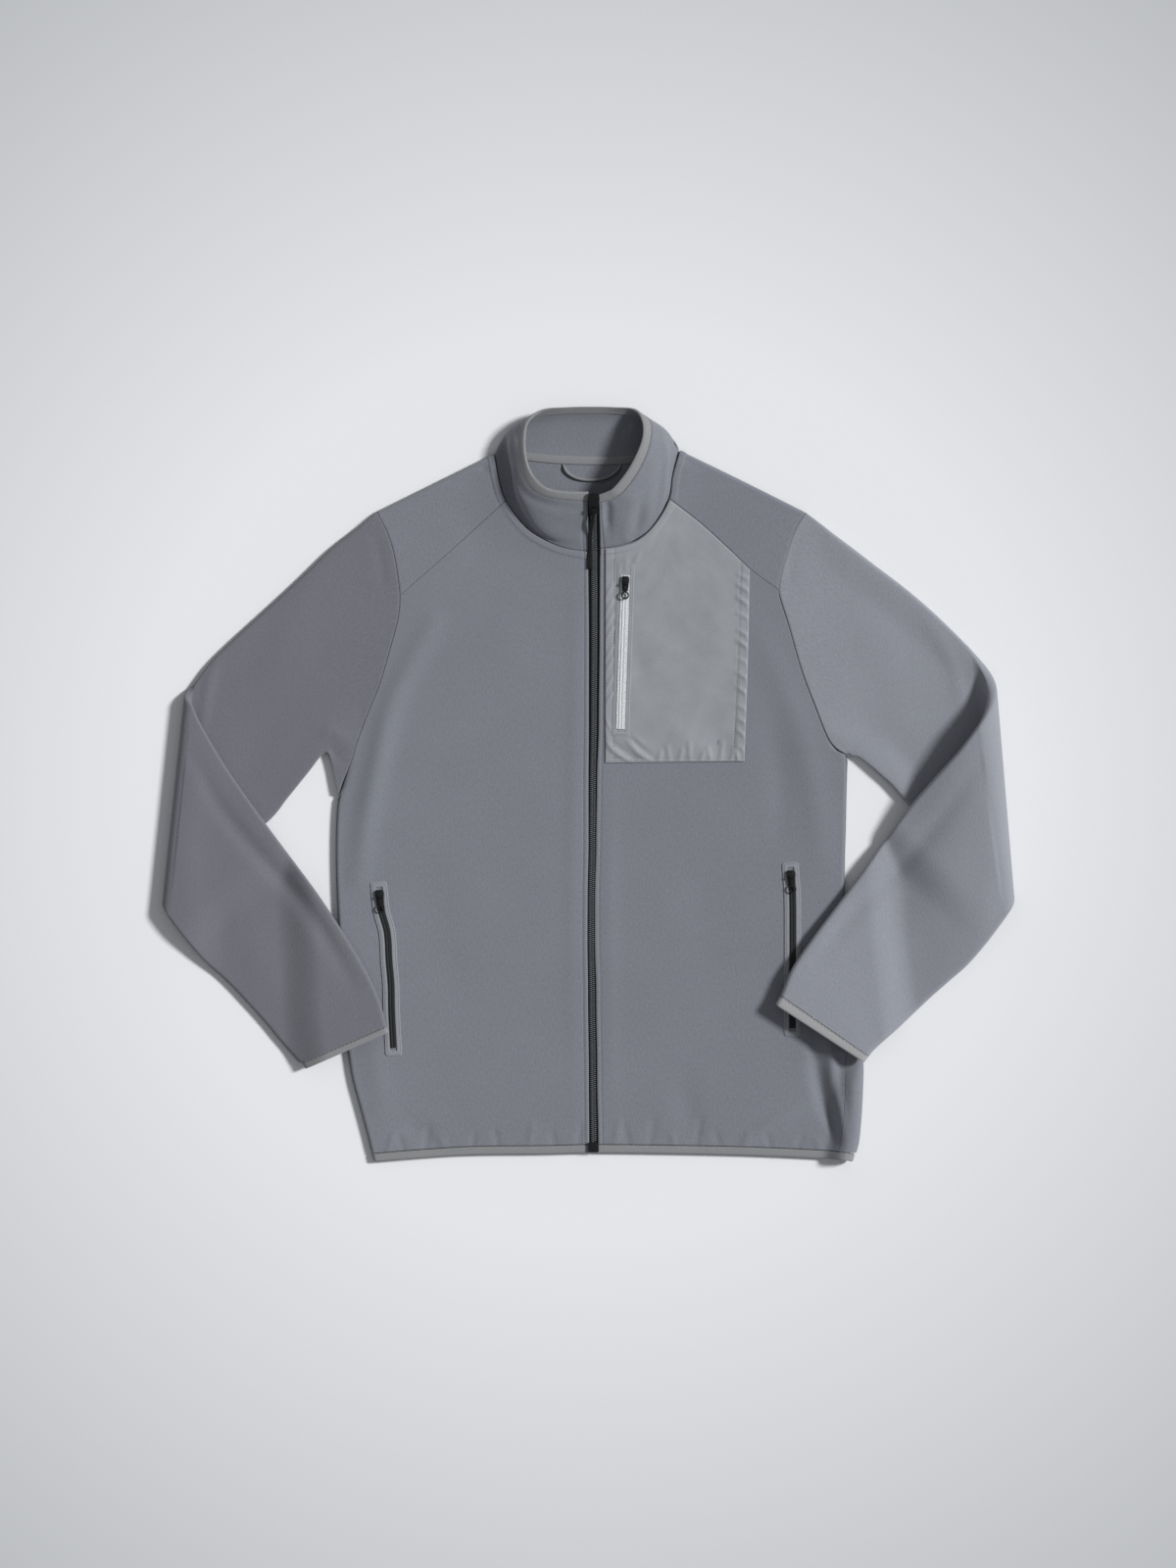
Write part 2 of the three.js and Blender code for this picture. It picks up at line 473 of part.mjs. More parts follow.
// The back: flat on the surface, turned up round both sides to the side seams and up to the shoulders
function backSurface() {
  const parts = [
    { side: curve(rightSide), arm: curve(rightArmhole), inwards: 1, bulge: false },
    { side: curve(leftSide), arm: curve(leftArmhole), inwards: -1, bulge: true }];
  const lines = parts.map(({ side, arm }) => joined(aboveHem(side), stretch(arm, 0, 1), sideShare));
  const leftDown = stretch(curve(leftShoulder.slice().reverse()), 0, 1);
  const afterShoulder = joined(stretch(curve(backNeck), 0, 1), leftDown, backTop.neck);
  const top = joined(stretch(curve(rightShoulder), 0, 1), afterShoulder, backTop.shoulder);
  const low = (u) => {
    const { x } = lines[0](0).lerp(lines[1](0), u);
    return new THREE.Vector3(x, hemAt(x) + binding + hemGap, 0);
  };
  const plan = panelPlan({ left: lines[0], right: lines[1], bottom: low, top, ease: planEase });
  return (u, v) => {
    const onRight = u < backTurn;
    const onLeft = u > 1 - backTurn;
    const inner = THREE.MathUtils.clamp((u - backTurn) / (1 - 2 * backTurn), 0, 1);
    const [first, last] = [plan(0, v), plan(1, v)];
    const width = last.x - first.x;
    const roll = [edgeRoll, leftRoll(last.y)];
    const share = lerp(roll[0] / width, 1 - roll[1] / width, inner);
    const point = plan(share, v);
    if (!onRight && !onLeft) return point.setZ(backHeight(point.x, point.y));
    const sideIndex = onRight ? 0 : 1;
    const edge = onRight ? first : last;
    const { inwards, bulge } = parts[sideIndex];
    const radius = roll[sideIndex];
    const turned = onRight ? 1 - u / backTurn : 1 - (1 - u) / backTurn;
    const wrap = bulge ? sideWrap(edge.y) : 0;
    const beyond = lerp(seamWrap, radius * (Math.PI * 0.5 + sideBulge.past), wrap) - seam;
    const arc = lerp(-radius * Math.PI * 0.5, beyond, turned);
    const angle = Math.min(arc / radius, Math.PI * 0.5);
    const flat = Math.max(arc - radius * Math.PI * 0.5, 0);
    const curl = 1 - smoothstep(v, sideShare - backCurl.from, sideShare - backCurl.to);
    const inset = lerp(radius * (1 - turned), radius * (1 - Math.cos(angle)) + flat, curl);
    const clear = backClear * (1 - curl) * turned;
    const start = point.x - edge.x - inwards * radius;
    const x = edge.x + inwards * (inset + clear) + start * (1 - turned);
    const onArm = new THREE.Vector3(x, lerp(point.y, edge.y, turned), 0);
    onArm.y += turned * (hemAt(onArm.x) - hemAt(edge.x)) * (1 - v) ** planEase;
    const round = radius + radius * Math.sin(angle);
    const outer = arc > 0 && wrap > 0 ? Math.min(round, topHeight(onArm.x, onArm.y)) : round;
    return onArm.setZ(Math.max(outer * curl, backHeight(onArm.x, onArm.y)));
  };
}

// Section of a flat tube: q runs from one turned edge across the top to the other and back below.
// It returns the distance from the first edge and the height.
function tubeSection(q, width, roll) {
  const upper = q < 0.5;
  const t = upper ? q * 2 : 2 - q * 2;
  const angle = (Math.min(t, 1 - t, tubeTurn) / tubeTurn) * Math.PI * 0.5;
  const inset = roll * (1 - Math.cos(angle));
  let across = inset;
  const flatShare = (t - tubeTurn) / (1 - 2 * tubeTurn);
  if (flatShare > 0) across = flatShare > 1 ? width - inset : lerp(roll, width - roll, flatShare);
  const half = roll * Math.sin(angle);
  const inner = Math.min(across, width - across);
  const sunk = (2 * roll - flatTop) * smoothstep(inner, roll, roll + tubeSink);
  return { across, height: upper ? roll + half - sunk : roll - half };
}

// Height at which a forearm rests over what it crosses, coming down beside it
function restHeight(x, y, spec, underLine) {
  const arm = nearest(underLine, x, y);
  const side = edges[spec === rightSleeve ? 0 : 1];
  const body = nearest(side.line, x, y);
  const sign = spec === rightSleeve ? 1 : -1;
  const bodyX = side.line[Math.round(body.along * (side.line.length - 1))].x;
  const pastBody = (x - bodyX) * sign > 0 ? 0 : body.distance;
  const index = Math.round(arm.along * (underLine.length - 1));
  const edge = underLine[index];
  const pastArm = y > edge.y ? 0 : arm.distance;
  const onArm = (2 * spec.roll + armLift) * (1 - smoothstep(pastArm, ...hold));
  const onBody = bodyLift * (1 - smoothstep(pastBody, ...hold));
  return Math.max(onArm, onBody);
}

// A sleeve: a flat tube from the armhole to the cuff, bent back over itself round the elbow fold.
// q runs round the tube, t along it; the fold turns each point about a line above the tube.
function sleeveSurface(spec) {
  const upper = { under: rowCurve(spec.upper, 'under'), over: rowCurve(spec.upper, 'over') };
  const foreRows = spec.fore.map((row) => ({ ...row, raise: [row.lift, 0, 0] }));
  const fore = { under: rowCurve(foreRows, 'under'), over: rowCurve(foreRows, 'over'),
    raise: rowCurve(foreRows, 'raise') };
  const underLine = upper.under.getPoints(60);
  const arm = curve(spec.armhole);
  const out = new THREE.Vector3(...spec.fold.out, 0);
  return (q, t) => {
    const zone = t < upperShare ? 0 : t < foldShare ? 1 : 2;
    const upperT = Math.min(t / upperShare, 1);
    const foldT = THREE.MathUtils.clamp((t - upperShare) / (foldShare - upperShare), 0, 1);
    const foreT = Math.max((t - foldShare) / (1 - foldShare), 0);
    const under = zone === 0 ? upper.under.getPoint(upperT) : upper.under.getPoint(1)
      .lerp(fore.under.getPoint(0), foldT);
    const over = zone === 0 ? upper.over.getPoint(upperT) : upper.over.getPoint(1)
      .lerp(fore.over.getPoint(0), foldT);
    if (zone === 2) under.copy(fore.under.getPoint(foreT));
    if (zone === 2) over.copy(fore.over.getPoint(foreT));
    const width = under.distanceTo(over);
    const { across, height } = tubeSection(q, width, spec.roll);
    const share = across / width;
    const base = under.clone().lerp(over, share);
    if (zone === 0 && upperT < armholeReach) {
      const fade = (1 - upperT / armholeReach) ** 2;
      const start = spec.upper[0];
      const straight = new THREE.Vector3(...start.under, 0).lerp(new THREE.Vector3(...start.over, 0), share);
      base.addScaledVector(arm.getPoint(lerp(armStart, 1, share)).sub(straight), fade);
      const upperSide = q < 0.5 && across > spec.roll * 0.2 && width - across > spec.roll * 0.2;
      const joinHeight = upperSide ? topHeight(base.x, base.y) : height;
      const blend = 1 - smoothstep(upperT, 0, armholeReach * 0.7);
      return base.setZ(lerp(height, joinHeight, blend));
    }
    if (zone === 0) return base.setZ(height);
    const reach = lerp(spec.fold.under, spec.fold.over, share);
    if (zone === 1) {
      const angle = Math.PI * foldT;
      base.addScaledVector(out, (reach - height) * Math.sin(angle));
      return base.setZ(reach - (reach - height) * Math.cos(angle));
    }
    const fromFold = Math.abs(base.clone().sub(fore.under.getPoint(0)).dot(out));
    const settled = smoothstep(fromFold, 0, spec.fold.settle);
    const rest = restHeight(base.x, base.y, spec, underLine) + fore.raise.getPoint(foreT).x;
    const level = lerp(2 * reach - 2 * spec.roll, rest, settled);
    return base.setZ(level + 2 * spec.roll - height);
  };
}

// The collar and its binding: a band from the neck seam to the rim, open at the zip
const collarColumns = ['seam', 'foot', 'turn', 'rim'].map((column) => rowCurve(collarRows, column));
function collarSurface(u, h) {
  const points = collarColumns.map((line) => line.getPoint(u));
  return new THREE.CatmullRomCurve3(points, false, 'catmullrom', 0.5).getPoint(h);
}

// The hem binding: from the zip along one front, round that side, along the back and round to the other
function hemSurface(q, h) {
  const up = h * binding;
  const share = q * 5;
  const front = share < 1 || share > 4;
  const rightHalf = share < 2.5;
  const y = (x) => hemAt(x) + up;
  const sideLine = rightHalf ? rightSideHem : leftSideHem;
  const extreme = sideLine.getPoint(h * sideStart);
  const roll = rightHalf ? edgeRoll : leftRoll(extreme.y);
  const inwards = rightHalf ? 1 : -1;
  if (front) {
    const column = rightHalf ? 'right' : 'left';
    const t = rightHalf ? share : 5 - share;
    const x = lerp(between(opening, zipFootY, column), extreme.x + inwards * roll, t);
    return new THREE.Vector3(x, y(x), topHeight(x, y(x)));
  }
  const t = rightHalf ? share - 1 : 4 - share;
  if (t < 1) {
    const angle = Math.PI * (0.5 - t);
    const x = extreme.x + inwards * roll * (1 - Math.cos(angle));
    const scale = topHeight(extreme.x + inwards * roll, y(extreme.x)) / (2 * roll);
    const rise = angle > 0 ? lerp(1, scale, Math.sin(angle)) : 1;
    return new THREE.Vector3(x, y(x), (roll + roll * Math.sin(angle)) * rise);
  }
  const [from, to] = [rightSideHem.getPoint(0), leftSideHem.getPoint(0)];
  const x = lerp(from.x + edgeRoll, to.x - leftRoll(to.y), share - 2);
  return new THREE.Vector3(x, y(x), 0);
}
const rightSideHem = curve(rightSide);
const leftSideHem = curve(leftSide);

// A place on the main zip: across is measured from its middle, up from the outer face of the cloth
function onFrontZip(y, across, up) {
  const x = openingMiddle(y) + across;
  return new THREE.Vector3(x, y, topHeight(x, y) + up);
}
function onCollarZip(h, across, up) {
  const [right, left] = [collarSurface(0, h), collarSurface(1, h)];
  const half = right.distanceTo(left) / 2;
  const beyond = Math.max(Math.abs(across) - half, 0) / collarLength;
  const u = across < 0 ? beyond : 1 - beyond;
  const point = beyond > 0 ? collarSurface(u, h) : right.lerp(left, (across + half) / (2 * half));
  const normal = normalAt(collarSurface, 0, h, -1).add(normalAt(collarSurface, 1, h, -1)).normalize();
  return point.clone().addScaledVector(beyond > 0 ? normalAt(collarSurface, u, h, -1) : normal, up);
}

// A place on a zip set on a panel, at a share of its line
const onPanelZip = (line) => (t, across, up) => {
  const point = line.getPoint(t);
  const along = line.getTangent(t);
  const [x, y] = [point.x + along.y * across, point.y - along.x * across];
  return new THREE.Vector3(x, y, topHeight(x, y) + up);
};

// Section of a tape with its raised chain, as steps across and up
const zipSection = ({ half, low, top, chain, chainTop }) => [
  [-half, low], [half, low], [half, top], [chain + chainSlope, top], [chain, chainTop], [-chain, chainTop],
  [-chain - chainSlope, top], [-half, top]];
const flatSection = (half, low, top) => [[-half, low], [half, low], [half, top], [-half, top]];

// Ribbon through sections of equal corners, closed at both ends
function ribbon(sections, corners) {
  const count = corners.length;
  const faces = [];
  for (let j = 0; j + 1 < sections.length; j += 1) {
    for (let i = 0; i < count; i += 1) {
      const [a, b] = [j * count + i, j * count + ((i + 1) % count)];
      faces.push([a, b, b + count], [a, b + count, a + count]);
    }
  }
  const end = (sections.length - 1) * count;
  const outline = corners.map(([x, y]) => new THREE.Vector2(x, y));
  for (const [a, b, c] of THREE.ShapeUtils.triangulateShape(outline, [])) {
    faces.push([a, c, b], [a + end, b + end, c + end]);
  }
  return solid(sections.flat(), faces);
}
const section = (place, station, corners) => corners.map(([across, up]) => place(station, across, up));

// Solid of manifold-3d from a closed geometry, and a geometry from such a solid
function toSolid(geometry) {
  const plain = geometry.clone();
  plain.deleteAttribute('normal');
  plain.deleteAttribute('uv');
  const merged = mergeVertices(plain);
  return new wasm.Manifold(new wasm.Mesh({ numProp: 3, vertProperties: merged.attributes.position.array,
    triVerts: new Uint32Array(merged.index.array) }));
}
function toGeometry(body) {
  const { vertProperties, triVerts } = body.getMesh();
  const geometry = new THREE.BufferGeometry();
  geometry.setAttribute('position', new THREE.BufferAttribute(vertProperties, 3));
  return geometry.setIndex(new THREE.BufferAttribute(triVerts, 1));
}
const box = (width, length, height, x, y, z) => (
  toSolid(new THREE.BoxGeometry(width, length, height).translate(x, y, z)));
const rod = (radius, length, y, z) => (
  toSolid(new THREE.CylinderGeometry(radius, radius, length, 12).rotateZ(Math.PI / 2).translate(0, y, z)));
const disc = (radius, height, y, z) => (
  toSolid(new THREE.CylinderGeometry(radius, radius, height, 20).rotateX(Math.PI / 2).translate(0, y, z)));

// Height of a slider's bar over the cloth, and the radius of the eye that turns on it
const eyeRadius = ({ bar }) => bar + play + eyeWall;
const barHeight = (slider) => slider.low + slider.height + pullGap + eyeRadius(slider);

// A slider: a body that narrows towards the open end of the zip, two posts and a bar
function sliderBody(slider) {
  const { width, length, height, low, post, bar, pull, barAt } = slider;
  const half = [[0.36, -0.5], [0.42, -0.1], [0.5, 0.2], [0.46, 0.42], [0.34, 0.5]];
  const outline = half.map(([x, y]) => new THREE.Vector2(x * width, y * length));
  const mirrored = outline.map((p) => new THREE.Vector2(-p.x, p.y)).reverse();
  const shape = new THREE.Shape([...outline, ...mirrored]);
  const plateBody = new THREE.ExtrudeGeometry(shape, { depth: height, bevelEnabled: false });
  const top = barHeight(slider) + bar;
  const postHeight = top - low - height / 2;
  const across = pull / 2 + pullGap + post / 2;
  let body = toSolid(plateBody.translate(0, 0, low));
  for (const x of [-across, across]) {
    body = body.add(box(post, bar * 4, postHeight, x, barAt, top - postHeight / 2));
  }
  return toGeometry(body.add(rod(bar, 2 * across, barAt, barHeight(slider))));
}

// A small pull: an eye on the bar, a flat plate and a ring at its end
function ringPull(slider) {
  const z = slider.low + slider.height + pullGap + plate / 2;
  const { at, outer, inner } = pullRing;
  const eye = rod(eyeRadius(slider), slider.pull, slider.barAt, barHeight(slider));
  const strip = box(slider.pull, at, plate, 0, slider.barAt - at / 2, z);
  const ring = disc(outer, plate, slider.barAt - at, z);
  const hole = disc(inner, plate * 2, slider.barAt - at, z);
  return toGeometry(eye.add(strip).add(ring).subtract(hole)
    .subtract(rod(slider.bar + play, slider.pull * 2, slider.barAt, barHeight(slider))));
}

const group = new THREE.Group();
function piece(name, geometry, material) {
  const mesh = new THREE.Mesh(geometry, material.clone());
  mesh.name = name;
  group.add(mesh);
  return mesh;
}

// Fronts
const rightFrontPlan = frontPlan({ side: rightSide, armhole: rightArmhole, yoke: rightYokeSeam,
  neck: rightNeck, column: 'right', inwards: 1, bulge: false });
const leftFrontPlan = frontPlan({ side: leftSide, armhole: leftArmhole, yoke: leftYokeSeam,
  neck: leftNeck, column: 'left', inwards: -1, bulge: true });
const sideRows = [...shares(9, 0, 0.6), sideShare];
const alongFront = (share) => lerp(sideShare, 1, (share - armStart) / (armShares[5] - armStart));
const frontShares = [underarmRow, ...armShares.slice(0, 5), ...neckRows];
const frontRows = [...sideRows, ...frontShares.map(alongFront), 1];
const frontWidth = 250;
const turnedEdge = edgeRoll * 0.9;
const frontColumns = [...roundedStart(frontWidth, turnedEdge, 11), yokeShare].sort((a, b) => a - b);
piece('right_front', wall(onTop(rightFrontPlan), frontColumns, frontRows), cloths.fleece);
piece('left_front', wall(onTop(leftFrontPlan), frontColumns, frontRows, { side: -1 }), cloths.fleece);

// Yokes
const alongYoke = (share) => (share - armShares[5]) / (1 - armShares[5]);
const yokeRows = [...armShares.slice(5).map(alongYoke), 0.957, 0.983, 0.996, 1];
const yokeColumns = [0, 0.02, ...shares(6, 0.08, 1)];
const rightYoke = yokePlan({ armhole: rightArmhole, yoke: rightYokeSeam, neck: rightNeck,
  shoulder: rightShoulder, inwards: 1 });
const leftYoke = yokePlan({ armhole: leftArmhole, yoke: leftYokeSeam, neck: leftNeck,
  shoulder: leftShoulder, inwards: -1 });
piece('right_yoke', wall(onTop(rightYoke, yokeLift), yokeColumns, yokeRows), cloths.fleece);
piece('left_yoke', wall(onTop(leftYoke, yokeLift), yokeColumns, yokeRows, { side: -1 }), cloths.fleece);

// Back
const alongBack = (share) => lerp(sideShare, 1, share);
const backColumns = [...shares(6, 0, backTurn), ...shares(9, backTurn, 1 - backTurn).slice(1),
  ...shares(6, 1 - backTurn, 1).slice(1)];
const backRows = [...sideRows, ...[underarmRow, ...armShares].map(alongBack), 0.984, 0.993, 0.998, 1];
piece('back_panel', wall(backSurface(), backColumns, backRows, { side: -1 }), cloths.fleece);

// Sleeves and their cuffs
const turnColumns = [0, 0.25, 0.6, 1].map((s) => (s * tubeTurn) / 2);
// Round a sleeve, so that its first section meets the armhole at the rows of the body's panels
function sleeveColumns({ upper: [{ under, over }], roll }) {
  const turned = roll / Math.hypot(over[0] - under[0], over[1] - under[1]);
  const flat = armShares.map((share) => {
    const across = (share - armStart) / (1 - armStart);
    return lerp(tubeTurn, 1 - tubeTurn, (across - turned) / (1 - 2 * turned)) / 2;
  });
  const half = [...turnColumns, ...flat, ...turnColumns.map((s) => 0.5 - s).reverse()];
  return [...half, ...half.slice(1, -1).map((s) => 1 - s).reverse()];
}
const sleeveRows = [...shares(7, 0, upperShare), ...shares(7, upperShare, foldShare).slice(1),
  ...shares(9, foldShare, cuffShare).slice(1)];
const cuffRows = [cuffShare + cuffSeam, 0.99, 1];
for (const [name, spec] of [['right', rightSleeve], ['left', leftSleeve]]) {
  const surface = sleeveSurface(spec);
  const columns = sleeveColumns(spec);
  const side = name === 'right' ? 1 : -1;
  piece(`${name}_sleeve`, wall(surface, columns, sleeveRows, { side, loop: true }), cloths.sleeve);
  const cuff = wall(surface, columns, cuffRows, { side, loop: true, thick: boundEdge });
  piece(`${name}_cuff_binding`, cuff, cloths.edge);
}

// Collar
const collarUs = shares(44);
const collarWall = wall(collarSurface, collarUs, shares(5, 0, collarBound), { side: -1 });
piece('collar', collarWall, cloths.fleece);
const rimRows = [collarBound + collarSeam, 1];
const rimWall = wall(collarSurface, collarUs, rimRows, { side: -1, thick: boundEdge });
piece('collar_binding', rimWall, cloths.edge);

// Hem
const hemUs = [...shares(9, 0, 0.2), ...shares(6, 0.2, 0.4).slice(1), ...shares(12, 0.4, 0.6).slice(1),
  ...shares(6, 0.6, 0.8).slice(1), ...shares(9, 0.8, 1).slice(1)];
piece('hem_binding', wall(hemSurface, hemUs, [0, 1], { side: -1, thick: boundEdge }), cloths.edge);

// Main zip, from the hem up the fronts and the collar
const mainCorners = zipSection(mainTape);
const frontStations = shares(16, zipFootY + 1, zipNeckY);
const collarStations = [0.14, 0.28, 0.42, 0.56, 0.7, 0.83, 0.96];
const mainSections = [
  ...frontStations.map((y) => section(onFrontZip, y, mainCorners)),
  ...collarStations.map((h) => section(onCollarZip, h, mainCorners))];
piece('main_zip', ribbon(mainSections, mainCorners), cloths.zip);
const footY = zipFootY + zipFoot.length / 2 + 1;
const foot = new THREE.BoxGeometry(zipFoot.width, zipFoot.length, zipFoot.height);
const footHeight = topHeight(openingMiddle(footY), footY) + zipFoot.low + zipFoot.height / 2;
piece('zip_end_box', foot.translate(openingMiddle(footY), footY, footHeight), cloths.zip);

// Height of the main zip over the plan, for what rides on it
const zipLine = [...shares(50, zipFootY + 1, zipNeckY).map((y) => onFrontZip(y, 0, 0)),
  ...shares(24, 0.04, 1).map((h) => onCollarZip(h, 0, 0))];
function zipPlace(y) {
  let i = 0;
  while (i < zipLine.length - 2 && zipLine[i + 1].y < y) i += 1;
  return zipLine[i].clone().lerp(zipLine[i + 1], (y - zipLine[i].y) / (zipLine[i + 1].y - zipLine[i].y));
}

// Chest panel on the left front, up to the seams above it
const { left: panelLeft, bottom: panelBottom, right: panelRight, gap: panelGap } = chestPanel;
const panelSide = curve(panelRight);
const panelTop = joined(
  stretch(curve(leftNeck), chestPanel.neckShare, neckRow / (leftNeck.length - 1)),
  stretch(curve(leftYokeSeam.slice().reverse()), 0, chestPanel.yokeShare), chestPanel.topShare);
const panel = panelPlan({
  left: (t) => new THREE.Vector3(panelLeft, lerp(panelBottom, panelTop(0).y, t), 0),
  right: (t) => panelSide.getPoint(t),
  bottom: (u) => new THREE.Vector3(panelLeft, panelBottom, 0).lerp(panelSide.getPoint(0), u),
  top: (u) => panelTop(u).sub(new THREE.Vector3(0, chestPanel.below, 0)),
  ease: planEase });
const chestWall = wall(onTop(panel, panelGap + nylon), shares(12), shares(13), { thick: nylon });
piece('chest_panel', chestWall, cloths.nylon);

// Pocket zips
const pocketZips = [
  { name: 'chest', line: chestZipLine, tape: chestTape, count: 8, material: cloths.reflective },
  { name: 'right', line: rightPocketLine, tape: pocketTape, count: 10, material: cloths.zip },
  { name: 'left', line: leftPocketLine, tape: pocketTape, count: 9, material: cloths.zip }];
for (const { name, line, tape, count, material } of pocketZips) {
  const place = onPanelZip(curve(line));
  const corners = zipSection(tape);
  const geometry = ribbon(shares(count).map((t) => section(place, t, corners)), corners);
  piece(name === 'chest' ? 'chest_zip' : `${name}_pocket_zip`, geometry, material);
  const slider = sliders[name];
  const lineCurve = curve(line);
  let share = 0;
  while (lineCurve.getPoint(share).y > slider.y) share += 0.002;
  const at = lineCurve.getPoint(share);
  const along = lineCurve.getTangent(share);
  for (const [kind, shape] of [['slider', sliderBody(slider)], ['pull', ringPull(slider)]]) {
    const mesh = piece(name === 'chest' ? `chest_${kind}` : `${name}_pocket_${kind}`, shape, cloths.metal);
    mesh.position.set(at.x, at.y, topHeight(at.x, at.y));
    mesh.rotation.z = Math.atan2(along.x, -along.y);
  }
}

// Main slider on the collar, tilted to its slope
const slider = sliders.main;
const sliderAt = zipPlace(slider.y);
const slope = zipPlace(slider.y + slider.length / 3).sub(zipPlace(slider.y - slider.length / 3));
const tilt = Math.atan2(slope.z, slope.y);
const mainSliderMesh = piece('main_slider', sliderBody(slider), cloths.metal);
mainSliderMesh.position.copy(sliderAt);
mainSliderMesh.rotation.x = tilt;
const barPlace = new THREE.Vector3(0, slider.barAt, barHeight(slider));
const axis = barPlace.applyEuler(mainSliderMesh.rotation).add(sliderAt);

// Long pull: an eye, a strap that follows the zip a little to one side, and a wider tab.
// Its profile is drawn along the zip and up, and given a width that changes at the tab.
function pullUnder(distance) {
  const y = axis.y - distance;
  const onCloth = zipPlace(y).z + mainTape.chainTop + mainPull.rise;
  const onSlider = axis.z - eyeRadius(slider) - distance * Math.tan(tilt);
  return new THREE.Vector2(y, lerp(onSlider, onCloth, smoothstep(distance, ...mainPull.settle)));
}
function longPull() {
  const { strapEnd, widening, tab, thick, sideways, drift, stations } = mainPull;
  const under = stations.map(pullUnder).reverse();
  const over = under.map((p) => new THREE.Vector2(p.x, p.y + thick)).reverse();
  const profile = [...under, ...over];
  const sides = [-1, 1].map((side) => profile.map((p) => {
    const distance = axis.y - p.x;
    const half = distance > strapEnd - widening / 2 ? tab / 2 : slider.pull / 2;
    return new THREE.Vector3(axis.x + side * half + sideways * smoothstep(distance, ...drift), p.x, p.y);
  }));
  const outline = profile.map(({ x, y }) => [x, y]);
  const eye = rod(eyeRadius(slider), slider.pull, axis.y, axis.z).translate(axis.x, 0, 0);
  const bore = rod(slider.bar + play, slider.pull * 2, axis.y, axis.z).translate(axis.x, 0, 0);
  return toGeometry(toSolid(ribbon(sides, outline)).add(eye).subtract(bore));
}
piece('main_pull', longPull(), cloths.metal);

// Tape over the neck seam inside, and the loop to hang the jacket by
const tapeLine = curve(backNeck.slice(1, 6));
const tapeCorners = flatSection(neckTape.width / 2, neckTape.low, neckTape.high);
const tapePlace = (t, across, up) => {
  const point = tapeLine.getPoint(t);
  return new THREE.Vector3(lerp(neckTape.from, neckTape.to, t), point.y + neckTape.up - across, up);
};
const tapeSections = shares(10).map((t) => section(tapePlace, t, tapeCorners));
piece('neck_tape', ribbon(tapeSections, tapeCorners), cloths.edge);
const loopShape = new THREE.Shape().absarc(0, 0, loopCord, 0, 2 * Math.PI);
const loop = new THREE.ExtrudeGeometry(loopShape, { steps: 16, curveSegments: 4, bevelEnabled: false,
  extrudePath: curve(loopPath, loopHeight) });
piece('hanger_loop', loop, cloths.edge);

export default group;
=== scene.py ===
import math
import bpy
import numpy as np
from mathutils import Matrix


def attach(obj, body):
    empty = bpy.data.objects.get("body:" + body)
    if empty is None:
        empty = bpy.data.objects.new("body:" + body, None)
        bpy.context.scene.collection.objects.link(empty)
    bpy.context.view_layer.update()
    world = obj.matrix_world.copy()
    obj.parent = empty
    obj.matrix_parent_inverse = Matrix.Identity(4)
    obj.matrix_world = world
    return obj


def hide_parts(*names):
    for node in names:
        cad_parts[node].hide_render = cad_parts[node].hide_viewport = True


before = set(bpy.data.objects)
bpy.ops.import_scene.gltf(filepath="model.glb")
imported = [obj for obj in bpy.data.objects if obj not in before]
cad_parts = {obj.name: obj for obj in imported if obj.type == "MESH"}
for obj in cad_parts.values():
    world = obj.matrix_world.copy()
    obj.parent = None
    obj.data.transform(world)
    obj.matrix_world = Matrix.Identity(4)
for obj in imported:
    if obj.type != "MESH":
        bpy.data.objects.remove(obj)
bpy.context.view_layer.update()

mm = 0.001  # the tables below are in millimetres

# Cloth sizes that several pieces share
cloth = {
    "fleece": 1.8, "nylon": 1.0, "bound": 2.4, "binding": 8.0, "seam": 0.3, "hemGap": 0.6,
    "roll": 4.0, "flatTop": 7.0, "seamWrap": 2.0, "sideShare": 0.64, "yokeShare": 0.58, "ease": 2.6,
    "armStart": 0.004, "armGap": 0.15, "backClear": 1.7, "sink": 90.0, "yokeLift": 0.1, "yokeGap": 0.08,
}
inwardsOf = {"right": 1, "left": -1}  # way along X from each side of the body to the zip
edgeColumn = {"right": 1, "left": 2}  # column of the zip opening's table for each side

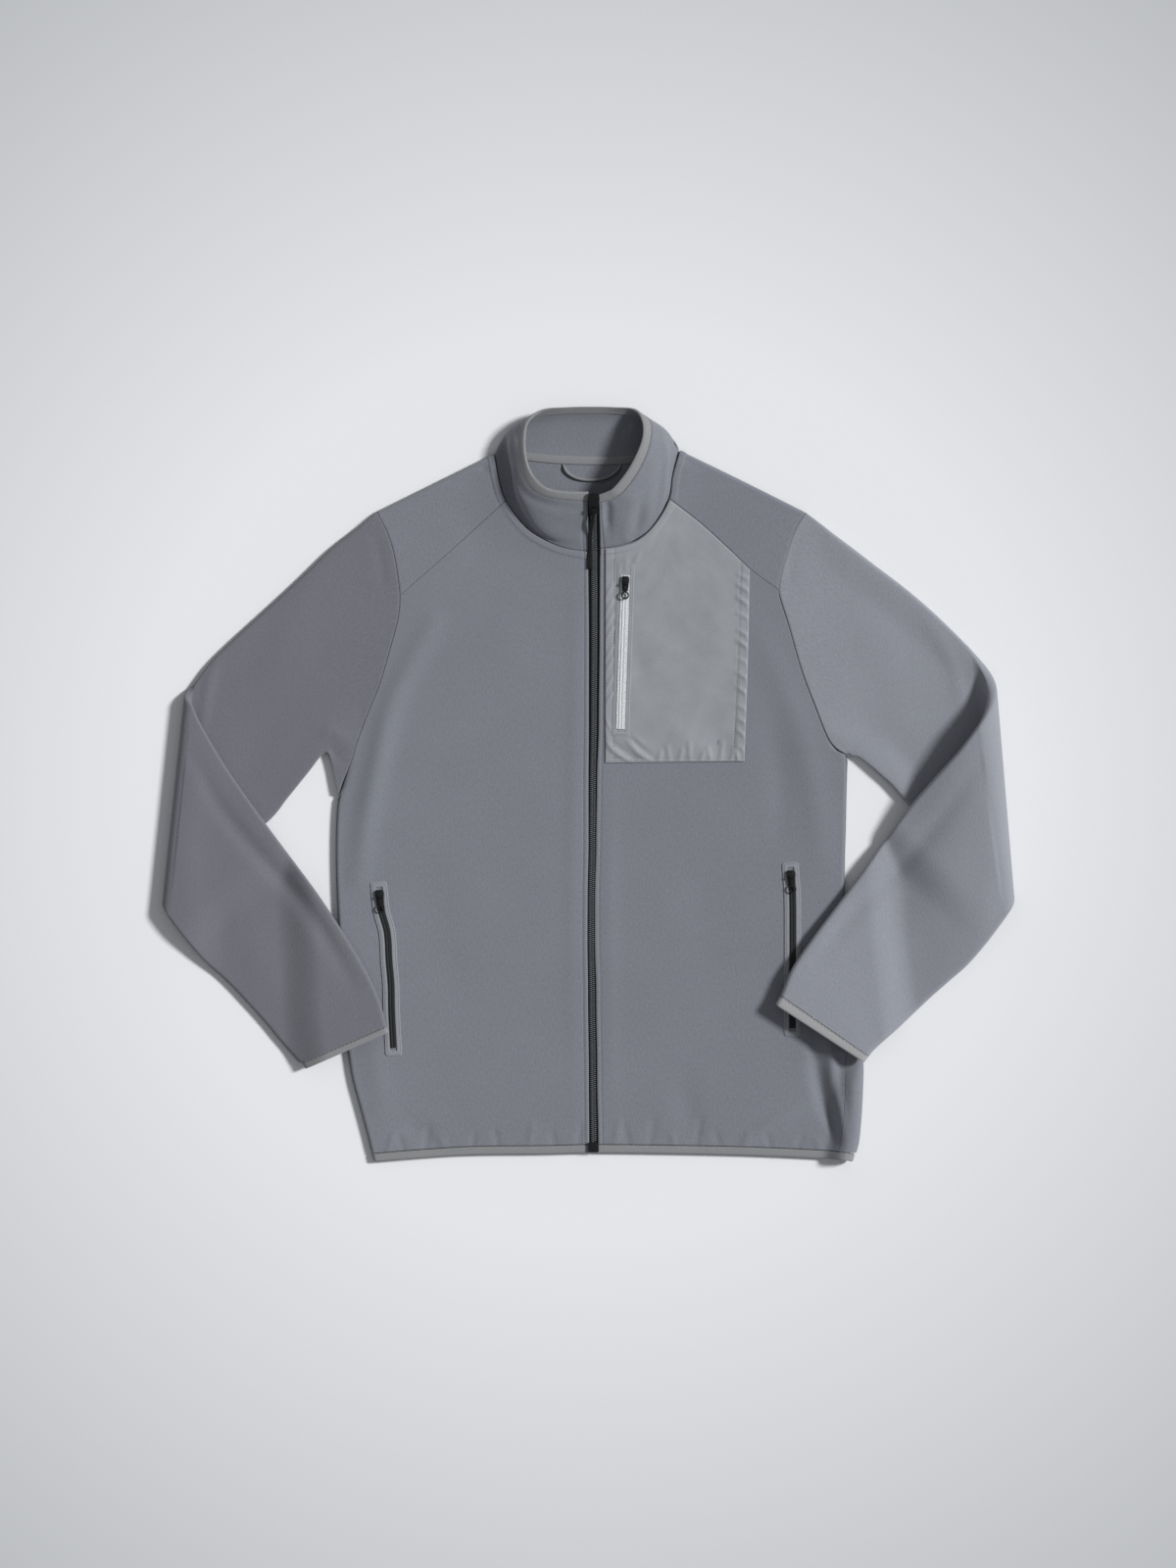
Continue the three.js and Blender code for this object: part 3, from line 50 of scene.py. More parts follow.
# Plan of the jacket as it lies: side lines from the hem up, shoulders from the armhole in
plan = {
    "rightSide": [(-219, -385), (-225, -360), (-233, -330), (-241, -300), (-245, -275), (-250, -240),
                  (-254, -160), (-257, -100), (-257.5, -60), (-256.5, -30), (-255, -12)],
    "leftSide": [(270, -385), (275.5, -370), (278.5, -345), (280.5, -310), (281, -285), (276, -240),
                 (267, -170), (262, -110), (262, -80), (263, -45), (264, 0), (265, 30)],
    "rightShoulder": [(-215.5, 277.5), (-155, 307.5), (-96, 336.5)],
    "leftShoulder": [(222, 277), (158, 309), (94, 340)],
    "rightArmhole": [(-255, -12), (-250, 2), (-241, 25), (-236, 42), (-221.5, 80), (-213, 101), (-202, 138),
                     (-193.5, 171), (-192, 192.5), (-194, 212), (-198.5, 237), (-205, 257), (-215.5, 277.5)],
    "leftArmhole": [(265, 30), (255, 35), (247, 43), (241, 55), (233, 76), (218, 116), (204.5, 163),
                    (195, 194), (194.5, 200), (196, 212), (202, 233), (211, 259), (222, 277)],
    "rightYokeSeam": [(-192, 192.5), (-138, 240), (-84, 289)],
    "leftYokeSeam": [(194.5, 198), (167, 218), (147, 237), (114, 267), (83, 291)],
    "rightNeck": [(-96, 336.5), (-91, 310), (-84, 289), (-63, 261), (-43, 248), (-22, 240), (0, 237)],
    "leftNeck": [(94, 340), (86.5, 314), (83, 291), (67, 264), (50, 249), (31, 242.5), (12, 240)],
    "backNeck": [(-96, 336.5), (-78, 334.5), (-40, 330.5), (0, 329), (40, 329.5), (76, 334), (94, 340)],
    "hem": [(-219, -385), (-170, -381), (-120, -378), (-40, -377), (0, -376), (100, -377), (180, -379),
            (262, -383.5), (270, -385)],
}
yokeRow = 8  # point of each armhole where the yoke seam meets it
neckRow = 2  # point of each neck line where the yoke seam meets it

# Zip opening: where the cloth stops on each side of the chain, by height on the plan
opening = np.array([
    (-377, 1.2, 10.2), (-300, 0.8, 9), (-220, 0, 8), (-160, -0.6, 6.6), (-120, -0.4, 6.6), (-60, 0.6, 8),
    (0, 0.6, 8.8), (60, 1, 10.6), (150, 1.2, 11.4), (240, 0.6, 11.8), (300, 0.5, 11.2)], float)


def mix(a, b, s):
    # straight blend: a at share 0, b at share 1
    return a + (b - a) * s


def smooth(x, low, high):
    # eased step: 0 below low, 1 above high, 3s^2 - 2s^3 between
    s = np.clip((x - low) / (high - low), 0, 1)
    return s * s * (3 - 2 * s)


def unit(vectors):
    # each vector divided by its length
    return vectors / np.linalg.norm(vectors, axis=-1, keepdims=True)


def cubic(start, end, slopeStart, slopeEnd, w):
    # the cubic from start to end that has those slopes there, at share w
    bend = 3 * (end - start) - 2 * slopeStart - slopeEnd
    return start + slopeStart * w + bend * w ** 2 + (2 * (start - end) + slopeStart + slopeEnd) * w ** 3


def curveAt(points, t, centripetal=True):
    # Catmull-Rom line: one cubic for each span, t runs evenly over the spans from 0 to 1
    p = np.array([tuple(q) + (0,) * (3 - len(q)) for q in points], float)
    q = np.vstack([2 * p[0] - p[1], p, 2 * p[-1] - p[-2]])
    at = np.clip(np.asarray(t, float), 0, 1) * (len(p) - 1)
    i = np.minimum(at.astype(int), len(p) - 2)
    p0, p1, p2, p3 = q[i], q[i + 1], q[i + 2], q[i + 3]
    if centripetal:
        d0, d1, d2 = (np.linalg.norm(b - a, axis=-1, keepdims=True) ** 0.5
                      for a, b in ((p0, p1), (p1, p2), (p2, p3)))
        m1 = ((p1 - p0) / d0 - (p2 - p0) / (d0 + d1) + (p2 - p1) / d1) * d1
        m2 = ((p2 - p1) / d1 - (p3 - p1) / (d1 + d2) + (p3 - p2) / d2) * d1
    else:
        m1, m2 = (p2 - p0) / 2, (p3 - p1) / 2
    return cubic(p1, p2, m1, m2, (at - i)[..., None])


def lineOf(points, start=0.0, end=1.0):
    # part of a line as a function of its share
    return lambda t: curveAt(points, mix(start, end, np.asarray(t, float)))


def joined(first, second, share):
    # two lines in a row, the first up to that share of the whole
    return lambda t: np.where(
        (np.asarray(t) < share)[..., None],
        first(np.clip(np.asarray(t) / share, 0, 1)),
        second(np.clip((np.asarray(t) - share) / (1 - share), 0, 1)))


def nearest(line, x, y):
    # distance from each place to a dense line, share along the line, and the foot of the perpendicular
    shape = np.shape(x)
    x, y = np.ravel(x)[:, None], np.ravel(y)[:, None]
    a, d = line[:-1, :2], np.diff(line[:, :2], axis=0)
    s = np.clip(((x - a[:, 0]) * d[:, 0] + (y - a[:, 1]) * d[:, 1]) / (d ** 2).sum(1), 0, 1)
    footX, footY = a[:, 0] + s * d[:, 0], a[:, 1] + s * d[:, 1]
    gap = np.hypot(x - footX, y - footY)
    k = gap.argmin(1)
    row = np.arange(len(k))
    return tuple(v.reshape(shape) for v in (
        gap[row, k], (k + s[row, k]) / len(a), footX[row, k], footY[row, k]))


def openingAt(y, column):
    # table of the zip opening, eased between its rows; column 1 is the right edge, 2 the left
    y = np.asarray(y, float)
    i = np.clip(np.searchsorted(opening[:, 0], y) - 1, 0, len(opening) - 2)
    s = smooth(y, opening[i, 0], opening[i + 1, 0])
    return mix(opening[i, column], opening[i + 1, column], s)


def openingMiddle(y):
    # half way between the two edges of the zip opening
    return (openingAt(y, 1) + openingAt(y, 2)) / 2


def leftRoll(y):
    # the left side turns on a larger radius near the hem, where it stands up
    bulged = smooth(-np.asarray(y, float), sideBulge["from"], sideBulge["to"])
    return mix(cloth["roll"], sideBulge["roll"], bulged)


def seamReach(y, side):
    # how far in from the side line the side seam lies: just round the turn, and past it over the left bulge
    turned = cloth["roll"] * (1 - math.cos(cloth["seamWrap"] / cloth["roll"]))
    start, end = sideBulge["from"] - sideBulge["lead"], sideBulge["to"] - sideBulge["lead"]
    bulged = smooth(-y, start, end) if side == "left" else 0
    return mix(turned, sideBulge["roll"] * sideBulge["reach"], bulged), bulged


# The bulge of the left side, by height below the middle; lead is how much higher its seam moves in,
# and reach how far in the seam lies there, in rolls
sideBulge = {"from": 264, "to": 318, "lead": 30, "roll": 10, "reach": 1.85, "sink": 22}
neckLift = {"height": 2.2, "width": 20}
foldReach = 10

edges = [
    {"line": curveAt(plan["rightSide"], np.linspace(0, 1, 61)), "left": False},
    {"line": curveAt(plan["leftSide"], np.linspace(0, 1, 61)), "left": True},
    {"line": curveAt(plan["rightShoulder"], np.linspace(0, 1, 21)), "left": False},
    {"line": curveAt(plan["leftShoulder"], np.linspace(0, 1, 21)), "left": False}]
neckLine = curveAt(plan["rightNeck"] + plan["leftNeck"][::-1], np.linspace(0, 1, 61))

# Folds and creases of the body: the large ones are also in the solids. Ridges are above zero,
# troughs below it; width is half the width of the bell, fade is where along it the crease dies out.
bodyCreases = [
    {"path": [(-158, 165), (-200, 82), (-217, 11), (-226, -35), (-234, -95)], "height": 4.2, "width": 12},
    {"path": [(176, 150), (214, 60), (232, -20), (236, -80)], "height": 2, "width": 15},
    {"path": [(230, -252), (233, -290), (241, -328), (254, -358)], "height": -4.4, "width": 7, "fade": 0.06},
    {"path": [(247, -256), (250, -296), (255, -330), (260, -362)], "height": 5.2, "width": 6.5, "fade": 0.1},
    {"path": [(-14, -366), (-16, -120), (-13, 80), (-13, 232)], "height": 0.7, "width": 8, "fade": 0.05},
    {"path": [(25, -366), (22, -120), (24, 10)], "height": 0.7, "width": 8, "fade": 0.05},
    {"path": [(-210, -330), (-216, -290), (-226, -240)], "height": 1.2, "width": 12},
    {"path": [(-120, -250), (-150, -180), (-160, -90)], "height": -0.9, "width": 26},
    {"path": [(90, -60), (120, -140), (126, -230)], "height": -0.9, "width": 28},
    {"path": [(186, 60), (196, 0), (196, -60)], "height": -1.1, "width": 12},
    {"path": [(-114, 330), (-104, 319)], "height": -1.6, "width": 3.5},
    {"path": [(-150, 290), (-120, 262), (-100, 232)], "height": -0.8, "width": 18},
    {"path": [(-188, -345), (-150, -368)], "height": -1.6, "width": 13},
    {"path": [(96, -300), (108, -366)], "height": -1.4, "width": 14},
    {"path": [(160, -366), (186, -345), (214, -332)], "height": 1.6, "width": 7},
]


def bells(creases, x, y):
    # sum of creases: exp(-(d/width)^2) across each line, a half sine along it
    total = np.zeros(np.shape(x))
    for crease in creases:
        line = curveAt(crease["path"], np.linspace(0, 1, 25))
        reach = crease["width"] * 2.6
        near = (x > line[:, 0].min() - reach) & (x < line[:, 0].max() + reach)
        near &= (y > line[:, 1].min() - reach) & (y < line[:, 1].max() + reach)
        if near.any():
            gap, along, _, _ = nearest(line, x[near], y[near])
            fade = crease.get("fade", 0.12)
            across = np.exp(-(gap / crease["width"]) ** 2)
            total[near] += crease["height"] * across * np.sin(np.pi * mix(fade, 1 - fade, along))
    return total


def topHeight(x, y):
    # height of the fronts' outer face: round at the edges, sinking inwards, with folds and the neck's rise
    x, y = np.broadcast_arrays(np.asarray(x, float), np.asarray(y, float))
    best = np.full(np.shape(x), np.inf)
    roll = np.full(np.shape(x), cloth["roll"])
    for edge in edges:
        gap, _, _, footY = nearest(edge["line"], x, y)
        near = gap < best
        best = np.where(near, gap, best)
        roll = np.where(near, leftRoll(footY) if edge["left"] else cloth["roll"], roll)
    inwards = np.minimum(best, roll)
    round_ = roll + np.sqrt(np.maximum(roll ** 2 - (roll - inwards) ** 2, 0))
    sink = np.where(roll > cloth["roll"] + 0.5, sideBulge["sink"], cloth["sink"])
    flat = mix(round_, cloth["flatTop"], smooth(best, roll, roll + sink))
    neck = neckLift["height"] * np.exp(-(nearest(neckLine, x, y)[0] / neckLift["width"]) ** 2)
    inner = smooth(best, roll * 0.5, roll + foldReach)
    return flat + (bells(bodyCreases, x, y) + neck) * inner


def backHeight(x, y):
    # height of the back's outer face: on the surface, turning up at the shoulders
    height = np.zeros(np.shape(x))
    for edge in edges[2:]:
        inwards = np.minimum(nearest(edge["line"], x, y)[0], cloth["roll"])
        up = cloth["roll"] - np.sqrt(np.maximum(cloth["roll"] ** 2 - (cloth["roll"] - inwards) ** 2, 0))
        height = np.maximum(height, up * 0.95)
    return height


hemPoints = curveAt(plan["hem"], np.linspace(0, 1, 61))


def hemAt(x):
    # height of the hem line on the plan
    return np.interp(x, hemPoints[:, 0], hemPoints[:, 1])


def aboveHem(points):
    # a side line from the top of the hem binding up
    t = np.linspace(0, 0.3, 301)
    start = t[np.argmax(curveAt(points, t)[:, 1] >= points[0][1] + cloth["binding"] + cloth["hemGap"])]
    return lineOf(points, start, 1)


def panelAt(u, v, left, right, bottom, top, ease):
    # straight rows between two side lines, bent near both ends to a bottom and a top line
    zero, one = np.zeros_like(u), np.ones_like(u)
    s, r = u[:, None], v[:, None]
    point = mix(left(v), right(v), s)
    low = (bottom(u) - mix(left(zero), right(zero), s)) * (1 - r) ** ease
    high = (top(u) - mix(left(one), right(one), s)) * r ** ease
    return point + low + high


def lowLine(left, right):
    # the end of a panel at the top of the hem binding
    def line(u):
        # between the two side lines' lowest places, at the height of the hem line
        x = mix(left(np.zeros_like(u)), right(np.zeros_like(u)), u[:, None])[:, 0]
        return np.column_stack([x, hemAt(x) + cloth["binding"] + cloth["hemGap"], np.zeros_like(x)])
    return line


def frontPlan(u, v, side):
    # plan of a front: u from the side seam to the zip, v from the hem to the yoke and neck seams
    arm, yoke, neck = (plan[side + part] for part in ("Armhole", "YokeSeam", "Neck"))
    inwards = inwardsOf[side]
    sideLine = aboveHem(plan[side + "Side"])

    def sideSeam(t):
        # the side line, moved in by the seam's reach
        point = sideLine(t)
        point[:, 0] += inwards * seamReach(point[:, 1], side)[0]
        return point

    outer = joined(sideSeam, lineOf(arm, cloth["armStart"], yokeRow / (len(arm) - 1)), cloth["sideShare"])

    def zipEdge(t):
        # the edge of the zip opening, from the hem to the neck
        y = mix(plan["hem"][4][1], neck[-1][1], t)
        return np.column_stack([openingAt(y, edgeColumn[side]), y, np.zeros_like(y)])

    top = joined(lineOf(yoke), lineOf(neck, neckRow / (len(neck) - 1), 1), cloth["yokeShare"])
    below = lambda t: top(t) - (0, cloth["yokeGap"], 0)
    point = panelAt(u, v, outer, zipEdge, lowLine(outer, zipEdge), below, cloth["ease"])
    armPart = smooth(v, cloth["sideShare"] - 0.02, cloth["sideShare"])
    point[:, 0] += inwards * cloth["armGap"] * armPart * (1 - u)
    return point


def yokePlan(u, v, side):
    # plan of a yoke: u from the armhole to the neck, v from the yoke seam to the shoulder
    arm, yoke, neck, shoulder = (plan[side + part] for part in ("Armhole", "YokeSeam", "Neck", "Shoulder"))
    point = panelAt(
        u, v, lineOf(arm, yokeRow / (len(arm) - 1), 1), lineOf(neck, neckRow / (len(neck) - 1), 0),
        lambda t: lineOf(yoke)(t) + (0, cloth["yokeGap"], 0), lineOf(shoulder), 1)
    point[:, 0] += inwardsOf[side] * cloth["armGap"] * (1 - 2 * u)
    return point


# The back: share of each row that is turned up at a side, and how its top is shared between
# the right shoulder and the rest, then between the neck and the left shoulder
back = {"turn": 0.12, "shoulderShare": 0.29, "neckShare": 0.6}


def backPoints(u, v):
    # the back: flat on the surface, turned up round both sides to the side seams and up to the shoulders
    turn = back["turn"]
    lines = [joined(aboveHem(plan[a]), lineOf(plan[b]), cloth["sideShare"])
             for a, b in (("rightSide", "rightArmhole"), ("leftSide", "leftArmhole"))]
    neckOn = joined(lineOf(plan["backNeck"]), lineOf(plan["leftShoulder"][::-1]), back["neckShare"])
    top = joined(lineOf(plan["rightShoulder"]), neckOn, back["shoulderShare"])
    low = lowLine(*lines)
    at = lambda s: panelAt(s, v, lines[0], lines[1], low, top, cloth["ease"])
    first, last = at(np.zeros_like(u)), at(np.ones_like(u))
    width = last[:, 0] - first[:, 0]
    rolls = [np.full_like(u, cloth["roll"]), leftRoll(last[:, 1])]
    inner = np.clip((u - turn) / (1 - 2 * turn), 0, 1)
    point = at(mix(rolls[0] / width, 1 - rolls[1] / width, inner))
    point[:, 2] = backHeight(point[:, 0], point[:, 1])
    for edge, side, radius, turned, here in (
            (first, "right", rolls[0], 1 - u / turn, u < turn),
            (last, "left", rolls[1], 1 - (1 - u) / turn, u > 1 - turn)):
        inwards = inwardsOf[side]
        reached, bulged = seamReach(edge[:, 1], side)
        around = radius * np.arccos(np.clip(1 - reached / radius, 0, 1)) + np.maximum(reached - radius, 0)
        beyond = around - cloth["seam"] * 0.5
        arc = mix(-radius * math.pi * 0.5, beyond, turned)
        angle = np.minimum(arc / radius, math.pi * 0.5)
        flat = np.maximum(arc - radius * math.pi * 0.5, 0)
        curl = 1 - smooth(v, cloth["sideShare"] - 0.016, cloth["sideShare"] - 0.002)
        inset = mix(radius * (1 - turned), radius * (1 - np.cos(angle)) + flat, curl)
        clear = cloth["backClear"] * (1 - curl) * turned
        start = point[:, 0] - edge[:, 0] - inwards * radius
        x = edge[:, 0] + inwards * (inset + clear) + start * (1 - turned)
        y = mix(point[:, 1], edge[:, 1], turned)
        y += turned * (hemAt(x) - hemAt(edge[:, 0])) * (1 - v) ** cloth["ease"]
        z = radius + radius * np.sin(angle)
        z = np.where((arc > 0) & (bulged > 0), np.minimum(z, topHeight(x, y)), z)
        z = np.maximum(z * curl, backHeight(x, y))
        point[here] = np.column_stack([x, y, z])[here]
    return point


def normalsOf(grid, side, loop):
    # cross product of the slopes along both directions of a grid
    if loop:
        wide = np.concatenate([grid[:, -1:], grid, grid[:, :1]], axis=1)
        alongU = (wide[:, 2:] - wide[:, :-2])
    else:
        alongU = np.gradient(grid, axis=1)
    normal = np.cross(alongU, np.gradient(grid, axis=0)) * side
    return normal / np.maximum(np.linalg.norm(normal, axis=2, keepdims=True), 1e-9)


def realUv(grid):
    # distances on the cloth in metres, from the middle of each row and along the middle column
    across = np.cumsum(np.linalg.norm(np.diff(grid, axis=1, prepend=grid[:, :1]), axis=2), axis=1)
    across -= across[:, grid.shape[1] // 2][:, None]
    middle = grid[:, grid.shape[1] // 2]
    along = np.cumsum(np.linalg.norm(np.diff(middle, axis=0, prepend=middle[:1]), axis=1))
    return np.stack([across, np.broadcast_to(along[:, None], across.shape)], axis=2) * mm


def gridFaces(rows, columns, loop):
    # quads of a grid of points, closed along its rows where loop is true
    count = columns if loop else columns - 1
    j, i = np.meshgrid(np.arange(rows - 1), np.arange(count), indexing="ij")
    right = (i + 1) % columns
    return np.stack([j * columns + i, j * columns + right, (j + 1) * columns + right, (j + 1) * columns + i],
                    axis=-1).reshape(-1, 4)


def wallPiece(name, grid, thick, side, finish, slot, node, loop=False, dip=0.0):
    # a closed wall: the grid lowered by dip, the grid moved in by thick or past the dip, and a rim round both
    rows, columns = grid.shape[:2]
    normal = normalsOf(grid, side, loop)
    dip = np.broadcast_to(np.asarray(dip, float), (rows, columns))
    outer = grid - normal * dip[..., None]
    inner = grid - normal * np.maximum(thick, dip + thick * 0.3)[..., None]
    points = np.concatenate([outer.reshape(-1, 3), inner.reshape(-1, 3)])
    layer = rows * columns
    face = gridFaces(rows, columns, loop)
    faces = [face, face[:, ::-1] + layer]
    ring = [np.arange(columns), (rows - 1) * columns + np.arange(columns)]
    if loop:
        ring = [np.append(r, r[0]) for r in ring]
    faces.append(np.column_stack([ring[0][:-1], ring[0][:-1] + layer, ring[0][1:] + layer, ring[0][1:]]))
    faces.append(np.column_stack([ring[1][:-1], ring[1][1:], ring[1][1:] + layer, ring[1][:-1] + layer]))
    if not loop:
        left, right = np.arange(rows) * columns, np.arange(rows) * columns + columns - 1
        faces.append(np.column_stack([left[:-1], left[1:], left[1:] + layer, left[:-1] + layer]))
        faces.append(np.column_stack([right[:-1], right[:-1] + layer, right[1:] + layer, right[1:]]))
    faces = np.concatenate(faces)
    if side < 0:
        faces = faces[:, ::-1]
    uv = realUv(grid).reshape(-1, 2)
    return place(addMesh(name, points, faces, materials[finish], np.concatenate([uv, uv])), slot, node)


sharpEdge = 50  # degrees past which an edge is shaded as a sharp one


def addMesh(name, points, faces, material, uv=None):
    # a mesh from arrays: points in millimetres, faces of one size, uv for each point
    mesh = bpy.data.meshes.new(name)
    size = faces.shape[1]
    mesh.vertices.add(len(points))
    mesh.vertices.foreach_set("co", (np.asarray(points) * mm).ravel())
    mesh.loops.add(faces.size)
    mesh.loops.foreach_set("vertex_index", faces.ravel())
    mesh.polygons.add(len(faces))
    mesh.polygons.foreach_set("loop_start", np.arange(0, faces.size, size))
    mesh.polygons.foreach_set("use_smooth", np.ones(len(faces), bool))
    if uv is not None:
        layer = mesh.uv_layers.new(name="cloth")
        layer.data.foreach_set("uv", uv[faces.ravel()].ravel())
    mesh.update(calc_edges=True)
    mesh.validate()
    mesh.set_sharp_from_angle(angle=math.radians(sharpEdge))
    mesh.materials.append(material)
    piece = bpy.data.objects.new(name, mesh)
    bpy.context.scene.collection.objects.link(piece)
    return piece


def place(piece, slot, *nodes, body="root"):
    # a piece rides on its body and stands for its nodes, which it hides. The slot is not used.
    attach(piece, body)
    if nodes:
        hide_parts(*nodes)
    return piece


def outwards(points, faces):
    # turns all faces round if the closed mesh has them pointing in
    a, b, c = (points[faces[:, k]] - points.mean(0) for k in range(3))
    volume = np.einsum("ij,ij->i", a, np.cross(b, c)).sum()
    return faces if volume > 0 else faces[:, ::-1]


def closedPiece(name, points, faces, finish, slot, *nodes, mapped=False):
    # a closed mesh with its faces outwards; where mapped is true its plan in metres is its UV map
    uv = points[:, :2] * mm if mapped else None
    return place(addMesh(name, points, outwards(points, faces), materials[finish], uv), slot, *nodes)


def clothArea(grid, loop=False):
    # half the cross products of the quads' diagonals, added up, in square metres
    if loop:
        grid = np.concatenate([grid, grid[:, :1]], axis=1)
    one, two = grid[1:, 1:] - grid[:-1, :-1], grid[1:, :-1] - grid[:-1, 1:]
    return float(np.linalg.norm(np.cross(one, two), axis=2).sum() / 2 * mm * mm)


def cutSize(grid, loop=False):
    # the widest row and the longest column, in metres
    wide = np.concatenate([grid, grid[:, :1]], axis=1) if loop else grid
    rows = np.linalg.norm(np.diff(wide, axis=1), axis=2).sum(1)
    columns = np.linalg.norm(np.diff(grid, axis=0), axis=2).sum(0)
    return float(rows.max() * mm), float(columns.max() * mm)


def sheetOf(piece, grid, loop=False):
    # the cut of what shows: its rectangle, and its flat area where that is less
    width, length = cutSize(grid, loop)
    area = min(clothArea(grid, loop), width * length)
    print(f"{piece.name}: {width * 1000:.0f} by {length * 1000:.0f} mm, {area:.4f} square metres")
    return piece


# Distances from an edge at which a cloth's points lie closer, for its turned edge and its stitching
edgeSteps = np.array((0.0, 0.35, 0.8, 1.4, 2.2, 3.2, 4.0, 4.7, 5.4, 6.2, 6.9, 7.6, 8.6))


def spread(count, length):
    # shares from 0 to 1: even steps, with closer ones at both ends
    start = edgeSteps / length
    middle = np.linspace(start[-1], 1 - start[-1], count + 1)[1:]
    return np.concatenate([start, middle, 1 - start[::-1][1:]])


def edgeDip(distance, reach, depth):
    # how far a cloth turns down into a seam: a quarter round over reach
    s = np.clip(distance / reach, 0, 1)
    return depth * (1 - np.sqrt(np.maximum(1 - (1 - s) ** 2, 0)))


def furrow(distance, at, width, depth):
    # a line of stitching pulls the cloth down along a line at that distance
    return depth * np.exp(-((distance - at) / width) ** 2)


# Materials: shared groups first
def socketGroup(name, inputs, outputs):
    # a shader node group with named inputs and outputs
    group = bpy.data.node_groups.new(name, "ShaderNodeTree")
    for label, kind, value in inputs:
        socket = group.interface.new_socket(name=label, in_out="INPUT", socket_type=kind)
        if value is not None:
            socket.default_value = value
    for label, kind in outputs:
        group.interface.new_socket(name=label, in_out="OUTPUT", socket_type=kind)
    return group, group.nodes.new("NodeGroupInput"), group.nodes.new("NodeGroupOutput")


def mathNode(tree, operation, a, b):
    # one sum or product of two sockets or numbers
    node = tree.nodes.new("ShaderNodeMath")
    node.operation = operation
    for socket, value in zip(node.inputs, (a, b)):
        if isinstance(value, (int, float)):
            socket.default_value = value
        else:
            tree.links.new(value, socket)
    return node.outputs[0]


def noise(tree, vector, scale, detail=2.0, rough=0.5):
    # cloudy values between 0 and 1, scale of them to the metre
    node = tree.nodes.new("ShaderNodeTexNoise")
    node.inputs["Scale"].default_value = scale
    node.inputs["Detail"].default_value = detail
    node.inputs["Roughness"].default_value = rough
    tree.links.new(vector, node.inputs["Vector"])
    return node.outputs["Fac"]


def stretched(tree, vector, scale):
    # the place, scaled differently along its axes
    node = tree.nodes.new("ShaderNodeMapping")
    node.inputs["Scale"].default_value = scale
    tree.links.new(vector, node.inputs["Vector"])
    return node.outputs["Vector"]


def added(tree, parts):
    # sum of values, each with its weight
    total = None
    for value, weight in parts:
        part = mathNode(tree, "MULTIPLY", value, weight)
        total = part if total is None else mathNode(tree, "ADD", total, part)
    return total


def meltonGroup():
    # grey melange of a knit: fine grains, short streaks along the wales, slow clouds, and a pebbled height
    group, start, end = socketGroup(
        "knitMelange", [("Vector", "NodeSocketVector", None)],
        [("Tone", "NodeSocketFloat"), ("Height", "NodeSocketFloat")])
    vector = start.outputs["Vector"]
    grain = noise(group, vector, 820, 2.0, 0.6)
    streak = noise(group, stretched(group, vector, (1, 0.35, 1)), 560, 2.0, 0.6)
    cloud = noise(group, vector, 11, 4.0, 0.55)
    pebble = noise(group, vector, 380, 2.0, 0.55)
    tone = added(group, [(grain, 0.42), (streak, 0.28), (pebble, 0.16), (cloud, 0.14)])
    nap = noise(group, vector, 700, 3.0, 0.7)
    height = added(group, [(pebble, 0.5), (nap, 0.35), (streak, 0.15)])
    group.links.new(tone, end.inputs["Tone"])
    group.links.new(height, end.inputs["Height"])
    return group


def newMaterial(name, color, roughness, metallic=0.0, sheen=0.0, specular=0.5):
    # a Principled material with its constants on the shader's own sockets
    material = bpy.data.materials.new(name)
    material.use_nodes = True
    shader = material.node_tree.nodes["Principled BSDF"]
    shader.inputs["Base Color"].default_value = (*color, 1)
    shader.inputs["Roughness"].default_value = roughness
    shader.inputs["Metallic"].default_value = metallic
    shader.inputs["Sheen Weight"].default_value = sheen
    shader.inputs["Specular IOR Level"].default_value = specular
    material.diffuse_color = (*color, 1)
    return material, material.node_tree, shader


def linear(red, green, blue):
    # display colour of 0 to 255 as linear light
    return tuple(((c / 255 + 0.055) / 1.055) ** 2.4 for c in (red, green, blue))


def rampBetween(tree, factor, dark, light, low=0.35, high=0.65):
    # a colour that runs straight from dark to light as the factor goes from low to high
    node = tree.nodes.new("ShaderNodeValToRGB")
    node.color_ramp.elements[0].position = low
    node.color_ramp.elements[0].color = (*dark, 1)
    node.color_ramp.elements[1].position = high
    node.color_ramp.elements[1].color = (*light, 1)
    tree.links.new(factor, node.inputs["Fac"])
    return node.outputs["Color"]


def bumpInto(tree, shader, height, strength, distance):
    # a height in metres that tilts the shader's normal
    node = tree.nodes.new("ShaderNodeBump")
    node.inputs["Strength"].default_value = strength
    node.inputs["Distance"].default_value = distance
    tree.links.new(height, node.inputs["Height"])
    tree.links.new(node.outputs["Normal"], shader.inputs["Normal"])


def uvOf(tree):
    # the cloth's own map, in metres along it
    node = tree.nodes.new("ShaderNodeUVMap")
    node.uv_map = "cloth"
    return node.outputs["UV"]


def placeOf(tree):
    # the place on the object, in metres
    return tree.nodes.new("ShaderNodeTexCoord").outputs["Object"]


def shade(color, factor):
    # a colour made lighter or darker by a factor
    return tuple(min(c * factor, 1) for c in color)


melange = meltonGroup()
fleeceContrast = 0.16  # how far its yarns are lighter and darker than the colour


